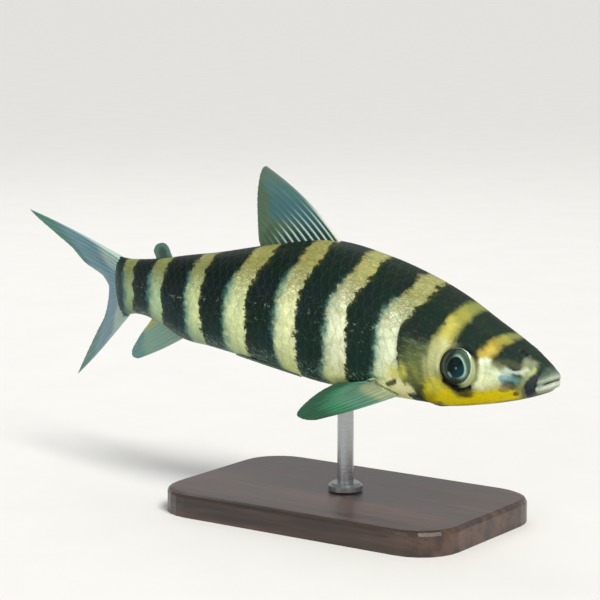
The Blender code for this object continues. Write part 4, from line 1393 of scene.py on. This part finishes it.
def make_camera():
    """The camera at the photo's angle, distance and framing; returns its view and right directions."""
    level = math.cos(VIEW_DOWN)
    look = np.array([-math.sin(VIEW_TURN) * level, math.cos(VIEW_TURN) * level, -math.sin(VIEW_DOWN)])
    right = np.array([math.cos(VIEW_TURN), math.sin(VIEW_TURN), 0.0])
    up = np.cross(right, look)
    middle = spine(np.array(BEND_MIDDLE))
    across = (MIDDLE_PIXEL[0] - FRAME_PIXELS / 2) / PIXELS_PER_MM * MM
    below = (MIDDLE_PIXEL[1] - FRAME_PIXELS / 2) / PIXELS_PER_MM * MM
    at = middle - look * VIEW_DISTANCE - right * across + up * below
    data = bpy.data.cameras.new("camera")
    data.sensor_width = SENSOR
    data.lens = PIXELS_PER_MM * (VIEW_DISTANCE / MM) / FRAME_PIXELS * SENSOR
    data.clip_start = 0.01
    data.clip_end = 30
    camera = bpy.data.objects.new("camera", data)
    bpy.context.scene.collection.objects.link(camera)
    camera.matrix_world = Matrix([(*row, shift) for row, shift in zip(np.stack([right, up, -look], 1), at)]
                                 + [(0, 0, 0, 1)])
    bpy.context.scene.camera = camera
    return look, right


def make_floor():
    """A wide, plain pale floor."""
    graph = Graph(bpy.data.materials.new("floor_finish"))
    speckle = graph.noise(graph.coordinate(), 60, 3)
    graph.set(Base_Color=graph.mix(speckle, (222, 221, 218), (228, 227, 224)), Roughness=0.7)
    half = 6.0
    corners = [(-half, -half, 0), (half, -half, 0), (half, half, 0), (-half, half, 0)]
    mesh = bpy.data.meshes.new("floor")
    mesh.from_pydata(corners, [], [(0, 1, 2, 3)])
    mesh.materials.append(graph.owner)
    floor = bpy.data.objects.new("floor", mesh)
    bpy.context.scene.collection.objects.link(floor)


def make_light(name, kind, power, colour, at, aim, **sizes):
    """One soft light that shines from a place toward an aim."""
    data = bpy.data.lights.new(name, kind)
    data.energy = power
    data.color = colour
    for key, value in sizes.items():
        setattr(data, key, value)
    light = bpy.data.objects.new(name, data)
    light.location = at
    light.rotation_mode = "QUATERNION"
    light.rotation_quaternion = (Vector(aim) - Vector(at)).to_track_quat("-Z", "Y")
    bpy.context.scene.collection.objects.link(light)


def make_studio(look, right):
    """Soft light from the camera's side and above, and a pale sky all round."""
    axes = np.stack([look, right, (0.0, 0.0, 1.0)])
    middle = np.array([0.0, 0.0, SPINE_HEIGHT])
    make_light("key", "SUN", SUN_POWER, SUN_COLOUR, (0, 0, 0), np.array(SUN_ALONG) @ axes, angle=SUN_SPREAD)
    for name, offset, size, power, colour in LAMPS:
        at = middle + np.array(offset) @ axes
        make_light(name, "AREA", power, colour, at, middle, shape="SQUARE", size=size)
    sky = Graph(bpy.data.worlds.new("sky"), "Background")
    rise = sky.split(sky.coordinate("Generated"))[2]
    tint = sky.mix(rise.rise(0.0, 0.12, kind="LINEAR"), SKY_LOW_TINT, SKY_HIGH_TINT)
    sky.set(Color=tint, Strength=rise.rise(0.0, 0.3, SKY_HORIZON, SKY_ABOVE))
    bpy.context.scene.world = sky.owner
    bpy.context.scene.view_settings.view_transform = "Standard"


def main():
    """Dress the frame, light it and set the camera."""
    look, right = make_camera()
    make_floor()
    make_studio(look, right)
    finish = skin_finish("banded_skin")
    make_skin(finish)
    make_coat(finish)
    iris = eye_finish()
    for end, side in SIDES:
        make_eye("eye_" + end, side, iris)
    make_dorsal()
    make_adipose()
    make_anal()
    make_caudal()
    make_paired_fins()
    finish_stand()


main()
